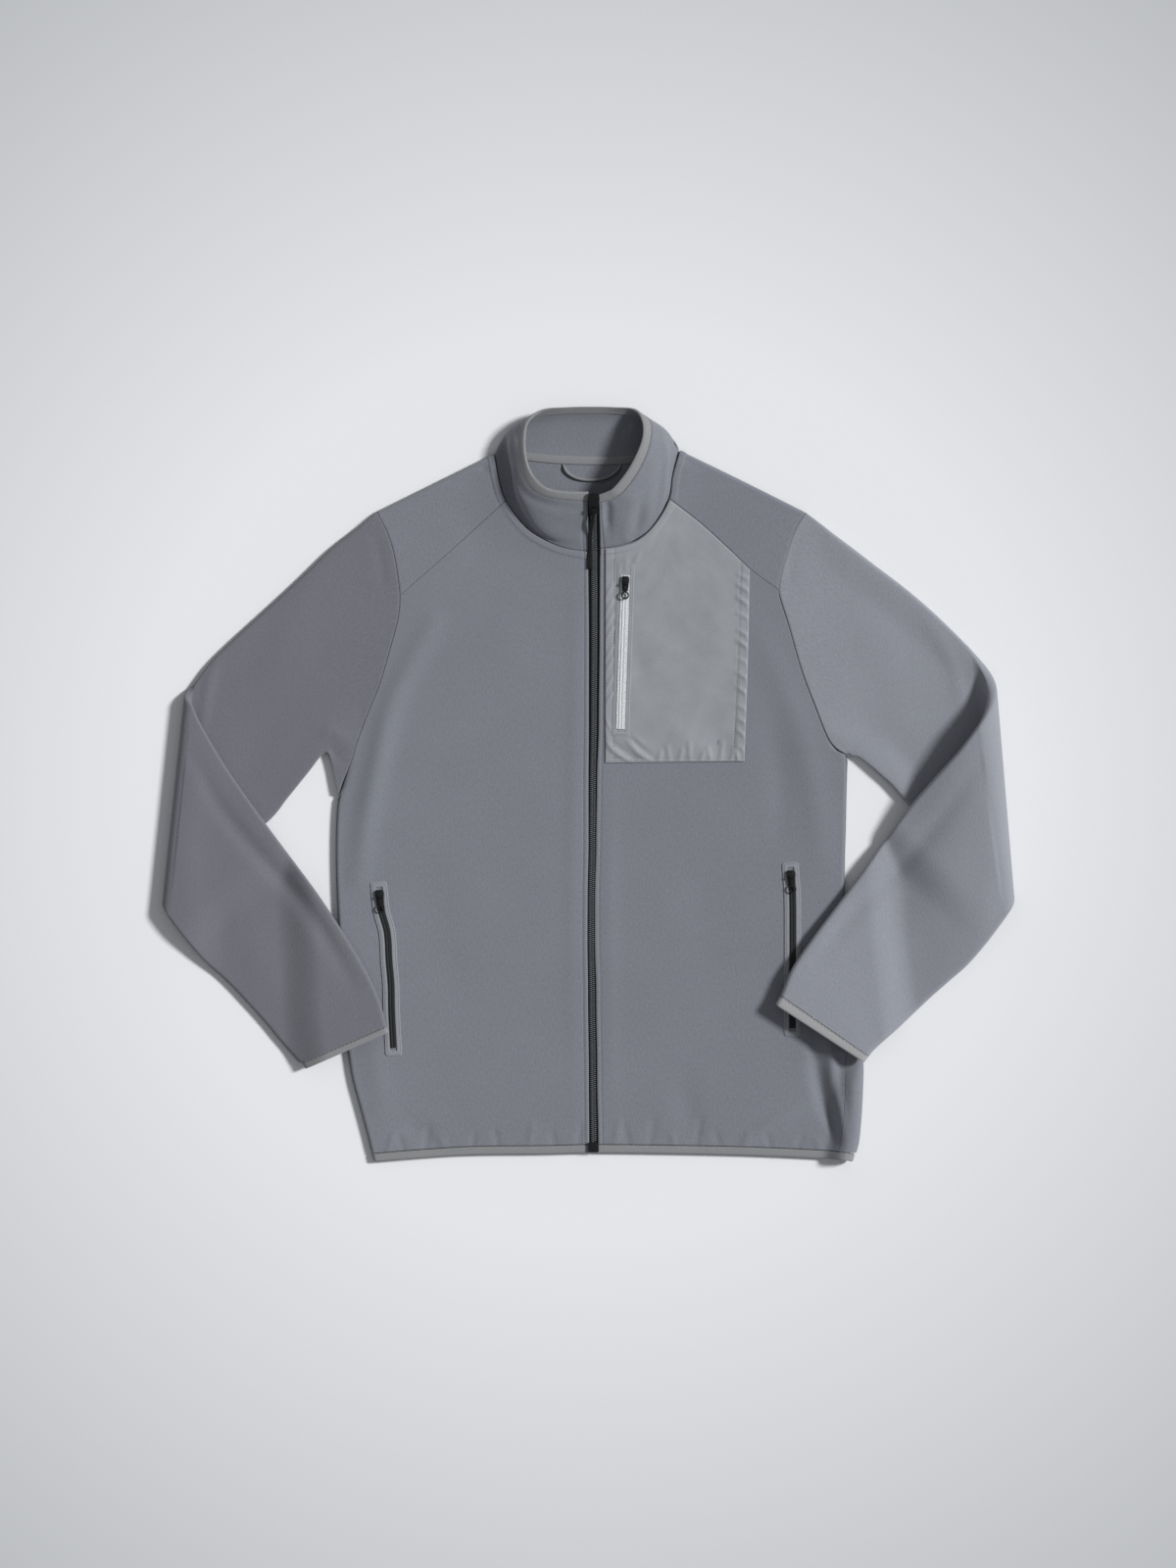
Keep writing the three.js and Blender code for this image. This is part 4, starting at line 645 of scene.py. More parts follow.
def fleeceMaterial(name, color):
    # knit with a soft sheen, its tone and pebbled height from the melange
    material, tree, shader = newMaterial(name, color, 0.93, sheen=0.25, specular=0.25)
    shader.inputs["Sheen Roughness"].default_value = 0.6
    group = tree.nodes.new("ShaderNodeGroup")
    group.node_tree = melange
    tree.links.new(uvOf(tree), group.inputs["Vector"])
    dark, light = shade(color, 1 - fleeceContrast), shade(color, 1 + fleeceContrast)
    tree.links.new(rampBetween(tree, group.outputs["Tone"], dark, light), shader.inputs["Base Color"])
    bumpInto(tree, shader, group.outputs["Height"], 0.45, 0.001)
    return material


def bindingMaterial(name, color):
    # elastic tape: fine ribs along it, and a slight speckle
    material, tree, shader = newMaterial(name, color, 0.8, sheen=0.15, specular=0.3)
    uv = uvOf(tree)
    grain = noise(tree, uv, 1100, 2.0, 0.6)
    speckle = rampBetween(tree, grain, shade(color, 0.86), shade(color, 1.12))
    tree.links.new(speckle, shader.inputs["Base Color"])
    bumpInto(tree, shader, noise(tree, stretched(tree, uv, (0.3, 1, 1)), 1500), 0.35, 0.0004)
    return material


def nylonMaterial(name, color):
    # thin plain weave: a fine grain, and a cool cloudy tone
    material, tree, shader = newMaterial(name, color, 0.6, sheen=0.05, specular=0.4)
    uv = uvOf(tree)
    grain = noise(tree, uv, 700, 2.0, 0.55)
    cloud = noise(tree, uv, 40, 3.0, 0.55)
    tone = added(tree, [(grain, 0.5), (cloud, 0.5)])
    tree.links.new(rampBetween(tree, tone, shade(color, 0.9), shade(color, 1.1)), shader.inputs["Base Color"])
    bumpInto(tree, shader, grain, 0.2, 0.0004)
    return material


def tapeMaterial(name, color, roughness):
    # woven zip tape: ribs across, darker and lighter yarns
    material, tree, shader = newMaterial(name, color, roughness, specular=0.4)
    yarn = noise(tree, stretched(tree, placeOf(tree), (1, 3, 1)), 900, 2.0, 0.6)
    tree.links.new(rampBetween(tree, yarn, shade(color, 0.7), shade(color, 1.4)), shader.inputs["Base Color"])
    bumpInto(tree, shader, yarn, 0.3, 0.0003)
    return material


def metalMaterial(name, color):
    # black enamel on metal, worn a little at random
    material, tree, shader = newMaterial(name, color, 0.35, metallic=0.3)
    wear = noise(tree, placeOf(tree), 700, 3.0, 0.6)
    worn = rampBetween(tree, wear, shade(color, 0.8), shade(color, 2.2), 0.45, 0.75)
    tree.links.new(worn, shader.inputs["Base Color"])
    rough = tree.nodes.new("ShaderNodeMapRange")
    rough.inputs["To Min"].default_value = 0.25
    rough.inputs["To Max"].default_value = 0.5
    tree.links.new(wear, rough.inputs["Value"])
    tree.links.new(rough.outputs["Result"], shader.inputs["Roughness"])
    return material


# The two sleeves are one fleece: the left sleeve's colour is painted lighter (painted light) and the right
# sleeve's darker (painted shade), for how each faces the light
colors = {
    "fleece": linear(122, 125, 133), "sleeve": linear(111, 112, 119), "leftSleeve": linear(140, 143, 151),
    "binding": linear(136, 137, 139), "litBinding": linear(158, 158, 160), "frame": linear(138, 141, 147),
    "nylon": linear(146, 149, 153), "tape": linear(30, 31, 34), "coil": linear(84, 86, 91),
    "reflective": linear(203, 206, 208), "metal": linear(20, 21, 23), "thread": linear(150, 151, 153),
    "fleeceThread": linear(110, 112, 118), "nylonThread": linear(128, 131, 134),
}
materials = {
    "fleece": fleeceMaterial("fleeceGrey", colors["fleece"]),
    # lit and shaded copies of the sleeve fleece: painted shade for the right sleeve, painted light for the
    # left
    "rightSleeve": fleeceMaterial("sleeveFleecePaintedShade", colors["sleeve"]),
    "leftSleeve": fleeceMaterial("sleeveFleecePaintedLight", colors["leftSleeve"]),
    "binding": bindingMaterial("elasticBinding", colors["binding"]),
    # the same binding painted lighter for the left cuff, which faces the light: painted light
    "litBinding": bindingMaterial("elasticBindingPaintedLight", colors["litBinding"]),
    "frame": fleeceMaterial("pocketWelt", colors["frame"]),
    "nylon": nylonMaterial("wovenNylon", colors["nylon"]),
    "tape": tapeMaterial("zipTape", colors["tape"], 0.75),
    "coil": tapeMaterial("zipCoil", colors["coil"], 0.4),
    "reflective": tapeMaterial("reflectiveTape", colors["reflective"], 0.45),
    "metal": metalMaterial("enamelledMetal", colors["metal"]),
    "thread": tapeMaterial("sewingThread", colors["thread"], 0.7),
    "fleeceThread": tapeMaterial("fleeceThread", colors["fleeceThread"], 0.7),
    "nylonThread": tapeMaterial("nylonThread", colors["nylonThread"], 0.6),
}
print("materials made")

# Floor: pale, with painted shade: its colour a little darker away from the middle, for the light falling off
# towards the edges
studio = {"floor": linear(238, 239, 241), "rim": linear(196, 198, 201), "near": 0.45, "far": 1.0,
          "half": 4000, "under": -0.3, "camera": 9.0, "view": 1.6}
material, tree, shader = newMaterial("paleFloorPaintedShade", studio["floor"], 0.9, specular=0.1)
away = tree.nodes.new("ShaderNodeVectorMath")
away.operation = "LENGTH"
tree.links.new(placeOf(tree), away.inputs[0])
tone = rampBetween(tree, away.outputs["Value"], studio["floor"], studio["rim"],
                   studio["near"], studio["far"])
tree.links.new(tone, shader.inputs["Base Color"])
points = np.array([(x * studio["half"], y * studio["half"], studio["under"])
                   for x, y in ((-1, -1), (1, -1), (1, 1), (-1, 1))], float)
floor = addMesh("floor", points, np.array([[0, 1, 2, 3]]), material)


def reader(path):
    # the length of a dense path, and a function that reads values at distances from its start
    far = np.concatenate([[0], np.cumsum(np.linalg.norm(np.diff(path, axis=0), axis=1))])
    return far[-1], lambda values, s: np.column_stack([np.interp(s, far, values[:, k]) for k in range(3)])


def bars(rows, corners, count):
    # triangles of separate closed bars, each of rows rings of corners, with a fan over both ends
    side = gridFaces(rows, corners, True)
    k = np.arange(1, corners - 1)
    low = np.column_stack([np.zeros_like(k), k + 1, k])
    high = np.column_stack([np.zeros_like(k), k, k + 1]) + (rows - 1) * corners
    one = np.concatenate([side[:, [0, 1, 2]], side[:, [0, 2, 3]], low, high])
    return (one[None] + (np.arange(count) * rows * corners)[:, None, None]).reshape(-1, 3)


# A stitch: where its rings lie along it and how thick they are, and how flat it is
stitchShape = {"sides": 5, "reach": (-0.5, -0.34, 0.34, 0.5), "swell": (0.35, 1, 1, 0.35), "flat": 0.8,
               "step": 0.4, "up": 0.05}


def stitchesOn(name, path, pitch, length, width, lean=0.0, up=None, finish="thread", slot="binding"):
    # a path in even steps; at each a short flat bar with thin ends, leaning to and fro where lean is set
    whole, read = reader(path)
    at = np.arange(pitch, whole - pitch, pitch)
    ahead = unit(read(path, at + stitchShape["step"]) - read(path, at - stitchShape["step"]))
    if up is None:
        normal = np.tile((0, 0, 1.0), (len(at), 1))
    else:
        up = np.vstack([up, up[:1]]) if len(up) < len(path) else up
        normal = read(up, at)
    across = unit(np.cross(ahead, normal))
    normal = np.cross(across, ahead)
    turn = lean * (1 - 2 * (np.arange(len(at)) % 2))[:, None]
    along = ahead * np.cos(turn) + across * np.sin(turn)
    side = across * np.cos(turn) - ahead * np.sin(turn)
    reach, swell = (np.array(stitchShape[k]) for k in ("reach", "swell"))
    angle = np.arange(stitchShape["sides"]) * 2 * np.pi / stitchShape["sides"]
    ring = (side[:, None] * np.cos(angle)[None, :, None]
            + normal[:, None] * np.sin(angle)[None, :, None] * stitchShape["flat"]) * width / 2
    centre = read(path, at) + normal * width * stitchShape["up"]
    middles = centre[:, None] + along[:, None] * (reach * length)[None, :, None]
    points = middles[:, :, None] + ring[:, None] * swell[None, :, None, None]
    closedPiece(name, points.reshape(-1, 3), bars(len(reach), len(angle), len(at)), finish, slot)


def gridOn(pointsAt, u, v):
    # a grid of places from a function of two shares, and the shares at each place
    uu, vv = np.meshgrid(u, v)
    return pointsAt(uu.ravel(), vv.ravel()).reshape(len(v), len(u), 3), uu, vv


# Fronts
front = {"size": (255, 640), "columns": 92, "rows": 220, "seamReach": 1.9, "seamDip": 0.55, "zipReach": 1.8,
         "zipDip": 1.1, "hemReach": 2, "hemDip": 0.5, "zipStitch": 4.7, "neckBand": 6.9, "bandRise": 0.8,
         "gapping": 5.5, "gapReach": 8, "puckerFrom": 9}
# Short puckers above the hem binding: place along the hem, lean, length
hemPuckers = [
    (-204, 5, 17), (-188, -4, 12), (-166, 3, 20), (-146, -5, 10), (-118, 2, 12), (-92, -3, 14), (-60, 4, 20),
    (-34, -3, 11), (-10, 3, 18), (27, 5, 22), (41, -4, 18), (63, 4, 24), (88, -3, 12), (110, 5, 26),
    (134, -4, 12), (160, 3, 14), (186, -3, 12), (214, 4, 12), (236, -3, 10)]
frontPuckers = []
for k, (x, lean, length) in enumerate(hemPuckers):
    y = hemAt(x) + front["puckerFrom"]
    frontPuckers.append({"path": [(x, y), (x + lean, y + length)], "height": -0.9 if k % 3 else 0.8,
                         "width": 2.6 + k % 4 * 0.5, "fade": 0.3})


def neckBand(x, y):
    # the seam allowance sewn down beside the neck seam: a flat step with a furrow of stitches at its edge
    gap = nearest(neckLine, x, y)[0]
    step = 1 - smooth(gap, front["neckBand"] - 0.5, front["neckBand"] + 0.9)
    return front["bandRise"] * step - furrow(gap, front["neckBand"] - 0.2, 0.7, 0.35)


def makeFront(side):
    # onto the plan of a front, the height of the laid fronts; its edges turn down into the seams
    width, length = front["size"]
    u, v = spread(front["columns"], width), spread(front["rows"], length)
    grid, uu, vv = gridOn(lambda u, v: frontPlan(u, v, side), u, v)
    x, y = grid[..., 0], grid[..., 1]
    grid[..., 2] = topHeight(x, y)
    toZip, toSide = (1 - uu) * width, uu * width
    dip = np.maximum.reduce([
        edgeDip(toZip, front["zipReach"], front["zipDip"]),
        edgeDip(toSide, front["seamReach"], front["seamDip"]),
        edgeDip((1 - vv) * length, front["seamReach"], front["seamDip"]),
        edgeDip(vv * length, front["hemReach"], front["hemDip"])])
    armPart = np.exp(-((vv - cloth["sideShare"] - 0.03) / 0.035) ** 2)
    dip += edgeDip(toSide, front["gapReach"], front["gapping"]) * armPart
    dip += furrow(toZip, front["zipStitch"], 0.8, 0.55) - 0.25 * (1 - smooth(toZip, 4.2, 5.6))
    dip -= neckBand(x, y) * smooth(toZip, 0, 2) + bells(frontPuckers, x, y)
    piece = wallPiece(side + "FrontCloth", grid, cloth["fleece"], inwardsOf[side], "fleece", "fleece",
                      side + "_front", dip=dip)
    sheetOf(piece, grid)


makeFront("right")
makeFront("left")
print("fronts made")


def beside(line, away):
    # a line moved sideways on the plan
    ahead = unit(np.gradient(line, axis=0))
    return line + np.column_stack([ahead[:, 1], -ahead[:, 0], ahead[:, 2] * 0]) * away


def onCloth(line, up):
    # a line at the fronts' height, and above it by up
    line = line.copy()
    line[:, 2] = topHeight(line[:, 0], line[:, 1]) + up
    return line


for side, away in inwardsOf.items():
    line = curveAt(plan[side + "Neck"], np.linspace(0.03, 0.985, 160))
    line = beside(line, away * (front["neckBand"] - 0.3))
    lift = np.where((line[:, 0] > 18) & (line[:, 1] < 290), 1.55, 0.15)
    stitchesOn(side + "NeckStitches", onCloth(line, lift), 3.0, 2.3, 0.5,
               finish="fleeceThread", slot="fleece")
    y = np.linspace(-368, 236, 300)
    x = openingAt(y, edgeColumn[side]) - away * front["zipStitch"]
    stitchesOn(side + "ZipStitches", onCloth(np.column_stack([x, y, y * 0]), -0.25), 3.0, 2.3, 0.5,
               finish="fleeceThread", slot="fleece")


# Yokes
yokes = {"size": (115, 85), "columns": 44, "rows": 40}


def makeYoke(side):
    # as a front, lifted a little; its edge at the shoulder isn't turned down
    width, length = yokes["size"]
    u, v = spread(yokes["columns"], width), spread(yokes["rows"], length)
    grid, uu, vv = gridOn(lambda u, v: yokePlan(u, v, side), u, v)
    x, y = grid[..., 0], grid[..., 1]
    grid[..., 2] = topHeight(x, y) + cloth["yokeLift"]
    dip = np.maximum.reduce([edgeDip(d, front["seamReach"], front["seamDip"])
                             for d in (uu * width, (1 - uu) * width, vv * length)]) - neckBand(x, y)
    piece = wallPiece(side + "YokeCloth", grid, cloth["fleece"], inwardsOf[side], "fleece", "fleece",
                      side + "_yoke", dip=dip)
    sheetOf(piece, grid)


makeYoke("right")
makeYoke("left")

# Back
turn = back["turn"]
u = np.concatenate([np.linspace(0, turn, 17), np.linspace(turn, 1 - turn, 131)[1:],
                    np.linspace(1 - turn, 1, 21)[1:]])
v = np.concatenate([np.linspace(0, 0.62, 150), np.linspace(0.62, 0.64, 14)[1:],
                    np.linspace(0.64, 0.98, 70)[1:], np.linspace(0.98, 1, 12)[1:]])
backGrid = gridOn(backPoints, u, v)[0]
backCloth = wallPiece("backCloth", backGrid, cloth["fleece"], -1, "fleece", "fleece", "back_panel")
print("back made")


# Sleeves: sections across the flat tube from the underarm to the outer edge, upper arm then forearm
sleeveShape = {"upper": 0.36, "fold": 0.54, "cuff": 0.956, "turn": 0.2, "reach": 0.5, "armLift": 0.7,
               "bodyLift": 10.8, "hold": (20, 62), "length": 700, "cuffLength": 190}
rightSleeve = {
    "side": "right", "cuffFinish": "binding", "roll": 4.0, "foldOut": (-0.994, 0.108, 0), "under": 9.2,
    "over": 9.2, "settle": 60,
    "upper": [((-255, -12), (-215.5, 277.5)), ((-262, 20), (-228, 267)), ((-269, 31), (-238, 259)),
              ((-285, 12), (-262, 240)), ((-306, -14), (-290, 213)), ((-327, -39), (-318, 187)),
              ((-378, -78), (-362, 147)), ((-405, -98), (-385, 124)), ((-424.2, -112), (-401.5, 102))],
    "fore": [((-426.7, -137), (-403.7, 82)), ((-414, -154), (-394, 60)), ((-392, -180), (-368, 16)),
             ((-368, -202), (-338, -27)), ((-348, -223), (-308, -68)), ((-330, -243), (-278, -108)),
             ((-316, -260), (-252, -147)), ((-304, -274), (-229, -185)), ((-296, -283), (-213, -218)),
             ((-292.2, -284.6), (-205.6, -245.2)), ((-288.3, -290.5), (-202, -253))],
    "lifts": [0, 0, 0, 0, 0, 0, 0, 0, 0.5, 1, 1]}
leftSleeve = {
    "side": "left", "cuffFinish": "litBinding", "roll": 5.0, "foldOut": (0.996, 0.0888, 0), "under": 12,
    "over": 24, "settle": 120,
    "upper": [((265, 30), (222, 277)), ((276, 27), (236, 266.5)), ((287, 18), (250, 255.5)),
              ((298, 8), (272, 239)), ((310, -3), (294, 222)), ((328, -23), (323, 200)),
              ((358, -51), (350, 177)), ((390, -79), (372, 156)), ((422, -106), (389, 139))],
    "fore": [((424, -138), (395, 58)), ((406, -162), (376, 33)), ((387, -184), (352, 6)),
             ((368, -201), (328, -22)), ((350, -217), (303, -56)), ((332, -234), (278, -91)),
             ((316, -249), (253, -124)), ((302, -261), (229, -156)), ((291, -271), (208, -187)),
             ((286.4, -276.6), (196.6, -213.4)), ((281, -283.5), (190.5, -224.5))],
    "lifts": [0, 0, 0, 0, 0, 0, 1, 3, 5, 6, 7]}
armCreases = {
    "rightUpper": [
        {"path": [(-217, 252), (-211, 228), (-209, 198)], "height": -1.6, "width": 5},
        {"path": [(-262, 52), (-250, 47), (-238, 40)], "height": 3.2, "width": 8},
        {"path": [(-233, 82), (-230, 60)], "height": -1.8, "width": 4},
        {"path": [(-268, 36), (-258, 31), (-250, 26)], "height": -2.4, "width": 4},
        {"path": [(-380, 128), (-388, 95), (-394, 55)], "height": 1.4, "width": 6},
        {"path": [(-270, 225), (-300, 165), (-330, 95)], "height": 1.3, "width": 24},
        {"path": [(-300, 90), (-340, 30), (-350, -30)], "height": -1.2, "width": 20}],
    "rightFore": [
        {"path": [(-404, 30), (-372, -28), (-330, -78), (-291, -122), (-262, -165), (-240, -206)],
         "height": -2.8, "width": 9, "fade": 0.08},
        {"path": [(-412, 40), (-402, 0), (-410, -70), (-404, -130)], "height": 1.3, "width": 16},
        {"path": [(-360, -90), (-340, -170), (-300, -230)], "height": 1.2, "width": 22}],
    "leftUpper": [
        {"path": [(214, 252), (207, 226), (206, 196)], "height": -1.3, "width": 5},
        {"path": [(268, 52), (255, 48), (244, 58)], "height": 2.2, "width": 8},
        {"path": [(262, 200), (300, 140), (322, 70)], "height": 1.3, "width": 22},
        {"path": [(296, 60), (330, 20), (352, -20)], "height": -1.2, "width": 16},
        {"path": [(350, 160), (372, 120), (384, 70)], "height": 1.2, "width": 9}],
    "leftFore": [
        {"path": [(398, 20), (362, -30), (318, -84), (272, -130), (236, -176)],
         "height": -2.4, "width": 10, "fade": 0.08},
        {"path": [(408, -20), (414, -80), (404, -140)], "height": 1.2, "width": 14},
        {"path": [(372, -60), (340, -130), (296, -200)], "height": 1.3, "width": 24}],
}


def tubeSection(q, width, roll):
    # q runs round a flat tube from one turned edge over the top to the other and back below
    upper = q < 0.5
    turn = sleeveShape["turn"]
    t = np.where(upper, q * 2, 2 - q * 2)
    angle = np.minimum(np.minimum(t, 1 - t), turn) / turn * math.pi * 0.5
    inset = roll * (1 - np.cos(angle))
    flat = mix(roll, width - roll, (t - turn) / (1 - 2 * turn))
    across = np.where(t > 1 - turn, width - inset, np.where(t > turn, flat, inset))
    half = roll * np.sin(angle)
    inner = np.minimum(across, width - across)
    sunk = (2 * roll - cloth["flatTop"]) * smooth(inner, roll, roll + 45)
    return across, np.where(upper, roll + half - sunk, roll - half)


def sleevePoints(spec, q, t):
    # a flat tube from the armhole to the cuff, bent back over itself about a line above the elbow
    shape = sleeveShape
    rows = lambda part, k: [row[k] for row in spec[part]]
    uUnder, uOver = (lambda s, k=k: curveAt(rows("upper", k), s, False) for k in (0, 1))
    fUnder, fOver = (lambda s, k=k: curveAt(rows("fore", k), s, False) for k in (0, 1))
    lifts = lambda s: curveAt([(lift, 0, 0) for lift in spec["lifts"]], s, False)[:, 0]
    one, zero = np.ones_like(t), np.zeros_like(t)
    upperT = np.clip(t / shape["upper"], 0, 1)
    foldT = np.clip((t - shape["upper"]) / (shape["fold"] - shape["upper"]), 0, 1)
    foreT = np.clip((t - shape["fold"]) / (1 - shape["fold"]), 0, 1)
    zone = np.where(t < shape["upper"], 0, np.where(t < shape["fold"], 1, 2))[:, None]
    under = np.where(zone == 0, uUnder(upperT), np.where(
        zone == 1, mix(uUnder(one), fUnder(zero), foldT[:, None]), fUnder(foreT)))
    over = np.where(zone == 0, uOver(upperT), np.where(
        zone == 1, mix(uOver(one), fOver(zero), foldT[:, None]), fOver(foreT)))
    width = np.linalg.norm(over - under, axis=1)
    across, height = tubeSection(q, width, spec["roll"])
    share = across / width
    base = mix(under, over, share[:, None])
    arm = plan[spec["side"] + "Armhole"]
    start = mix(np.array((*spec["upper"][0][0], 0.0)), np.array((*spec["upper"][0][1], 0.0)), share[:, None])
    fade = np.where((zone[:, 0] == 0), np.clip(1 - upperT / shape["reach"], 0, 1) ** 2, 0)
    base = base + (curveAt(arm, mix(cloth["armStart"], 1, share)) - start) * fade[:, None]
    edge = spec["roll"] * 0.2
    topSide = (q < 0.5) & (across > edge) & (width - across > edge)
    joinHeight = np.where(topSide, topHeight(base[:, 0], base[:, 1]), height)
    blend = (1 - smooth(upperT, 0, shape["reach"] * 0.7)) * (zone[:, 0] == 0)
    inner = smooth(np.minimum(across, width - across), spec["roll"] * 0.5, spec["roll"] + 12)
    creased = bells(armCreases[spec["side"] + "Upper"], base[:, 0], base[:, 1]) * (q < 0.5) * inner
    upperZ = mix(height, joinHeight, blend) + creased * (1 - blend * 0.6)
    reach = mix(spec["under"], spec["over"], share)
    angle = math.pi * foldT
    out = np.array(spec["foldOut"])
    folded = base + out * ((reach - height) * np.sin(angle))[:, None]
    foldZ = reach - (reach - height) * np.cos(angle)
    origin = fUnder(np.zeros(1))[0]
    fromFold = np.abs((base - origin) @ out)
    settled = smooth(fromFold, 0, spec["settle"])
    rest = restHeight(base[:, 0], base[:, 1], spec) + lifts(foreT)
    level = mix(2 * reach - 2 * spec["roll"], rest, settled)
    foreZ = level + 2 * spec["roll"] - height
    foreZ += bells(armCreases[spec["side"] + "Fore"], base[:, 0], base[:, 1]) * (q > 0.5) * inner
    z = np.where(zone[:, 0] == 0, upperZ, np.where(zone[:, 0] == 1, foldZ, foreZ))
    point = np.where(zone == 1, folded, base)
    point[:, 2] = z
    return point


def restHeight(x, y, spec):
    # height at which a forearm lies over the upper arm and the body, coming down beside them
    shape = sleeveShape
    underLine = curveAt([row[0] for row in spec["upper"]], np.linspace(0, 1, 61), False)
    gapArm, _, _, armY = nearest(underLine, x, y)
    gapBody, _, bodyX, _ = nearest(edges[0 if spec["side"] == "right" else 1]["line"], x, y)
    pastBody = np.where((x - bodyX) * inwardsOf[spec["side"]] > 0, 0, gapBody)
    pastArm = np.where(y > armY, 0, gapArm)
    onArm = (2 * spec["roll"] + shape["armLift"]) * (1 - smooth(pastArm, *shape["hold"]))
    onBody = shape["bodyLift"] * (1 - smooth(pastBody, *shape["hold"]))
    return np.maximum(onArm, onBody)


def sleeveLoop(turned=7, flat=56):
    # columns round a sleeve: close at the turned edges, even over the flat
    turn = sleeveShape["turn"]
    half = np.concatenate([np.linspace(0, turn, turned), np.linspace(turn, 1 - turn, flat + 1)[1:],
                           np.linspace(1 - turn, 1, turned)[1:]]) / 2
    return np.concatenate([half, 1 - half[1:-1][::-1]])


def makeSleeve(spec):
    # the sleeve's tube down to the cuff, the cuff's binding, and the stitches between them
    shape, side, inwards = sleeveShape, spec["side"], inwardsOf[spec["side"]]
    cuff = shape["cuff"]
    pointsAt = lambda q, t: sleevePoints(spec, q, t)
    q = sleeveLoop()
    t = np.concatenate([np.linspace(0, 0.006, 5), np.linspace(0.006, shape["upper"], 62)[1:],
                        np.linspace(shape["upper"], shape["fold"], 36)[1:],
                        np.linspace(shape["fold"], cuff - 0.001, 78)[1:],
                        np.linspace(cuff - 0.001, cuff + 0.003, 4)[1:]])
    grid, _, tt = gridOn(pointsAt, q, t)
    dip = edgeDip(tt * shape["length"], 2.2, 0.8) + edgeDip((cuff + 0.003 - tt) * shape["length"], 2.4, 0.5)
    sleeve = wallPiece(side + "SleeveCloth", grid, cloth["fleece"], inwards, side + "Sleeve",
                       "sleeve_fleece", side + "_sleeve", loop=True, dip=dip)
    t = np.array([0, 0.06, 0.2, 0.4, 0.6, 0.8, 0.94, 1]) * (1 - cuff - 0.004) + cuff + 0.004
    cuffGrid, _, tt = gridOn(pointsAt, q, t)
    toEnd = np.minimum(tt - t[0], t[-1] - tt) * shape["cuffLength"]
    binding = wallPiece(side + "CuffBinding", cuffGrid, cloth["bound"], inwards, spec["cuffFinish"],
                        "binding", side + "_cuff_binding", loop=True, dip=edgeDip(toEnd, 1.6, 0.8))
    sheetOf(sleeve, grid, loop=True)
    seamRow = pointsAt(q, np.full_like(q, cuff + 0.007))
    stitchesOn(side + "CuffStitches", np.vstack([seamRow, seamRow[:1]]), 2.2, 2.6, 0.5, lean=0.55,
               up=normalsOf(cuffGrid, inwards, True)[1])


makeSleeve(rightSleeve)
makeSleeve(leftSleeve)
print("sleeves made")

# Collar: rows from the zip round the wearer's right, the back and the left to the zip again
collar = {"bound": 0.86, "columns": 260, "rows": 30, "round": 440, "up": 62}
collarRows = [
    ((0, 237.3, 9.4), (0, 252, 16), (0, 274, 28), (0.5, 296.5, 36)),
    ((-22, 240.3, 9.4), (-24, 253, 15), (-23, 276, 28.5), (-16, 296.5, 37)),
    ((-43, 248.7, 9.2), (-43, 256, 13), (-45, 280, 28.5), (-34, 298, 38)),
    ((-62.2, 261.9, 9.2), (-57, 267, 12), (-64, 290, 28), (-46, 302.5, 38.5)),
    ((-82, 287, 9), (-70, 290, 11), (-74, 306, 27), (-57, 314, 38.5)),
    ((-90, 311, 8.6), (-76, 318, 9.5), (-77, 329, 25), (-63.5, 330, 37)),
    ((-93.4, 330, 7.6), (-83, 343, 8), (-79.5, 350, 22), (-65, 350, 35)),
    ((-94.2, 338, 4), (-88, 350, 4.5), (-79, 362, 12), (-62, 369, 30)),
    ((-78, 335.8, 0.6), (-76, 350, 0.5), (-68, 366, 4), (-47, 382, 20)),
    ((-40, 331.8, 0.3), (-38, 348, 0.5), (-32, 370, 5), (-22, 384.5, 16)),
    ((0, 330.2, 0.2), (1, 347, 0.4), (2, 370, 5), (3, 385, 15)),
    ((40, 330.8, 0.2), (38, 348, 0.4), (34, 370, 5), (28, 384.5, 16)),
    ((76, 335.6, 0.4), (72, 352, 1), (64, 368, 6), (48, 382.5, 22)),
    ((92.2, 341.4, 4), (88, 352, 7), (76, 363, 17), (56, 370, 33)),
    ((90.6, 333.6, 7.8), (86, 344, 13), (75, 348, 27), (56.5, 354, 38.5)),
    ((86, 314.4, 9), (81, 323, 16), (71, 330, 30), (51, 337, 41)),
    ((82, 291.6, 9.2), (73, 301, 17), (62, 310, 31), (40, 317, 41)),
    ((66.6, 264.4, 9.2), (60, 277, 18), (48, 290, 31), (26, 300, 39.5)),
    ((49.6, 250, 9.3), (44, 262, 17), (34, 280, 29), (18, 295.5, 37.5)),
    ((31, 243, 9.4), (28, 256, 16), (22, 276, 28), (13.5, 294, 36.5)),
    ((12, 240.4, 9.4), (12, 253, 15.5), (11.5, 274, 28), (11.2, 293.5, 36))]


def collarPoints(u, h):
    # a band through four lines round the neck, a Catmull-Rom line up through them at each place
    p = np.stack([curveAt([row[k] for row in collarRows], u, False) for k in range(4)], axis=1)
    q = np.concatenate([2 * p[:, :1] - p[:, 1:2], p, 2 * p[:, 3:] - p[:, 2:3]], axis=1)
    at = np.clip(h, 0, 1) * 3
    i = np.minimum(at.astype(int), 2)
    row = np.arange(len(i))
    p0, p1, p2, p3 = (q[row, i + k] for k in range(4))
    return cubic(p1, p2, (p2 - p0) / 2, (p3 - p1) / 2, (at - i)[:, None])


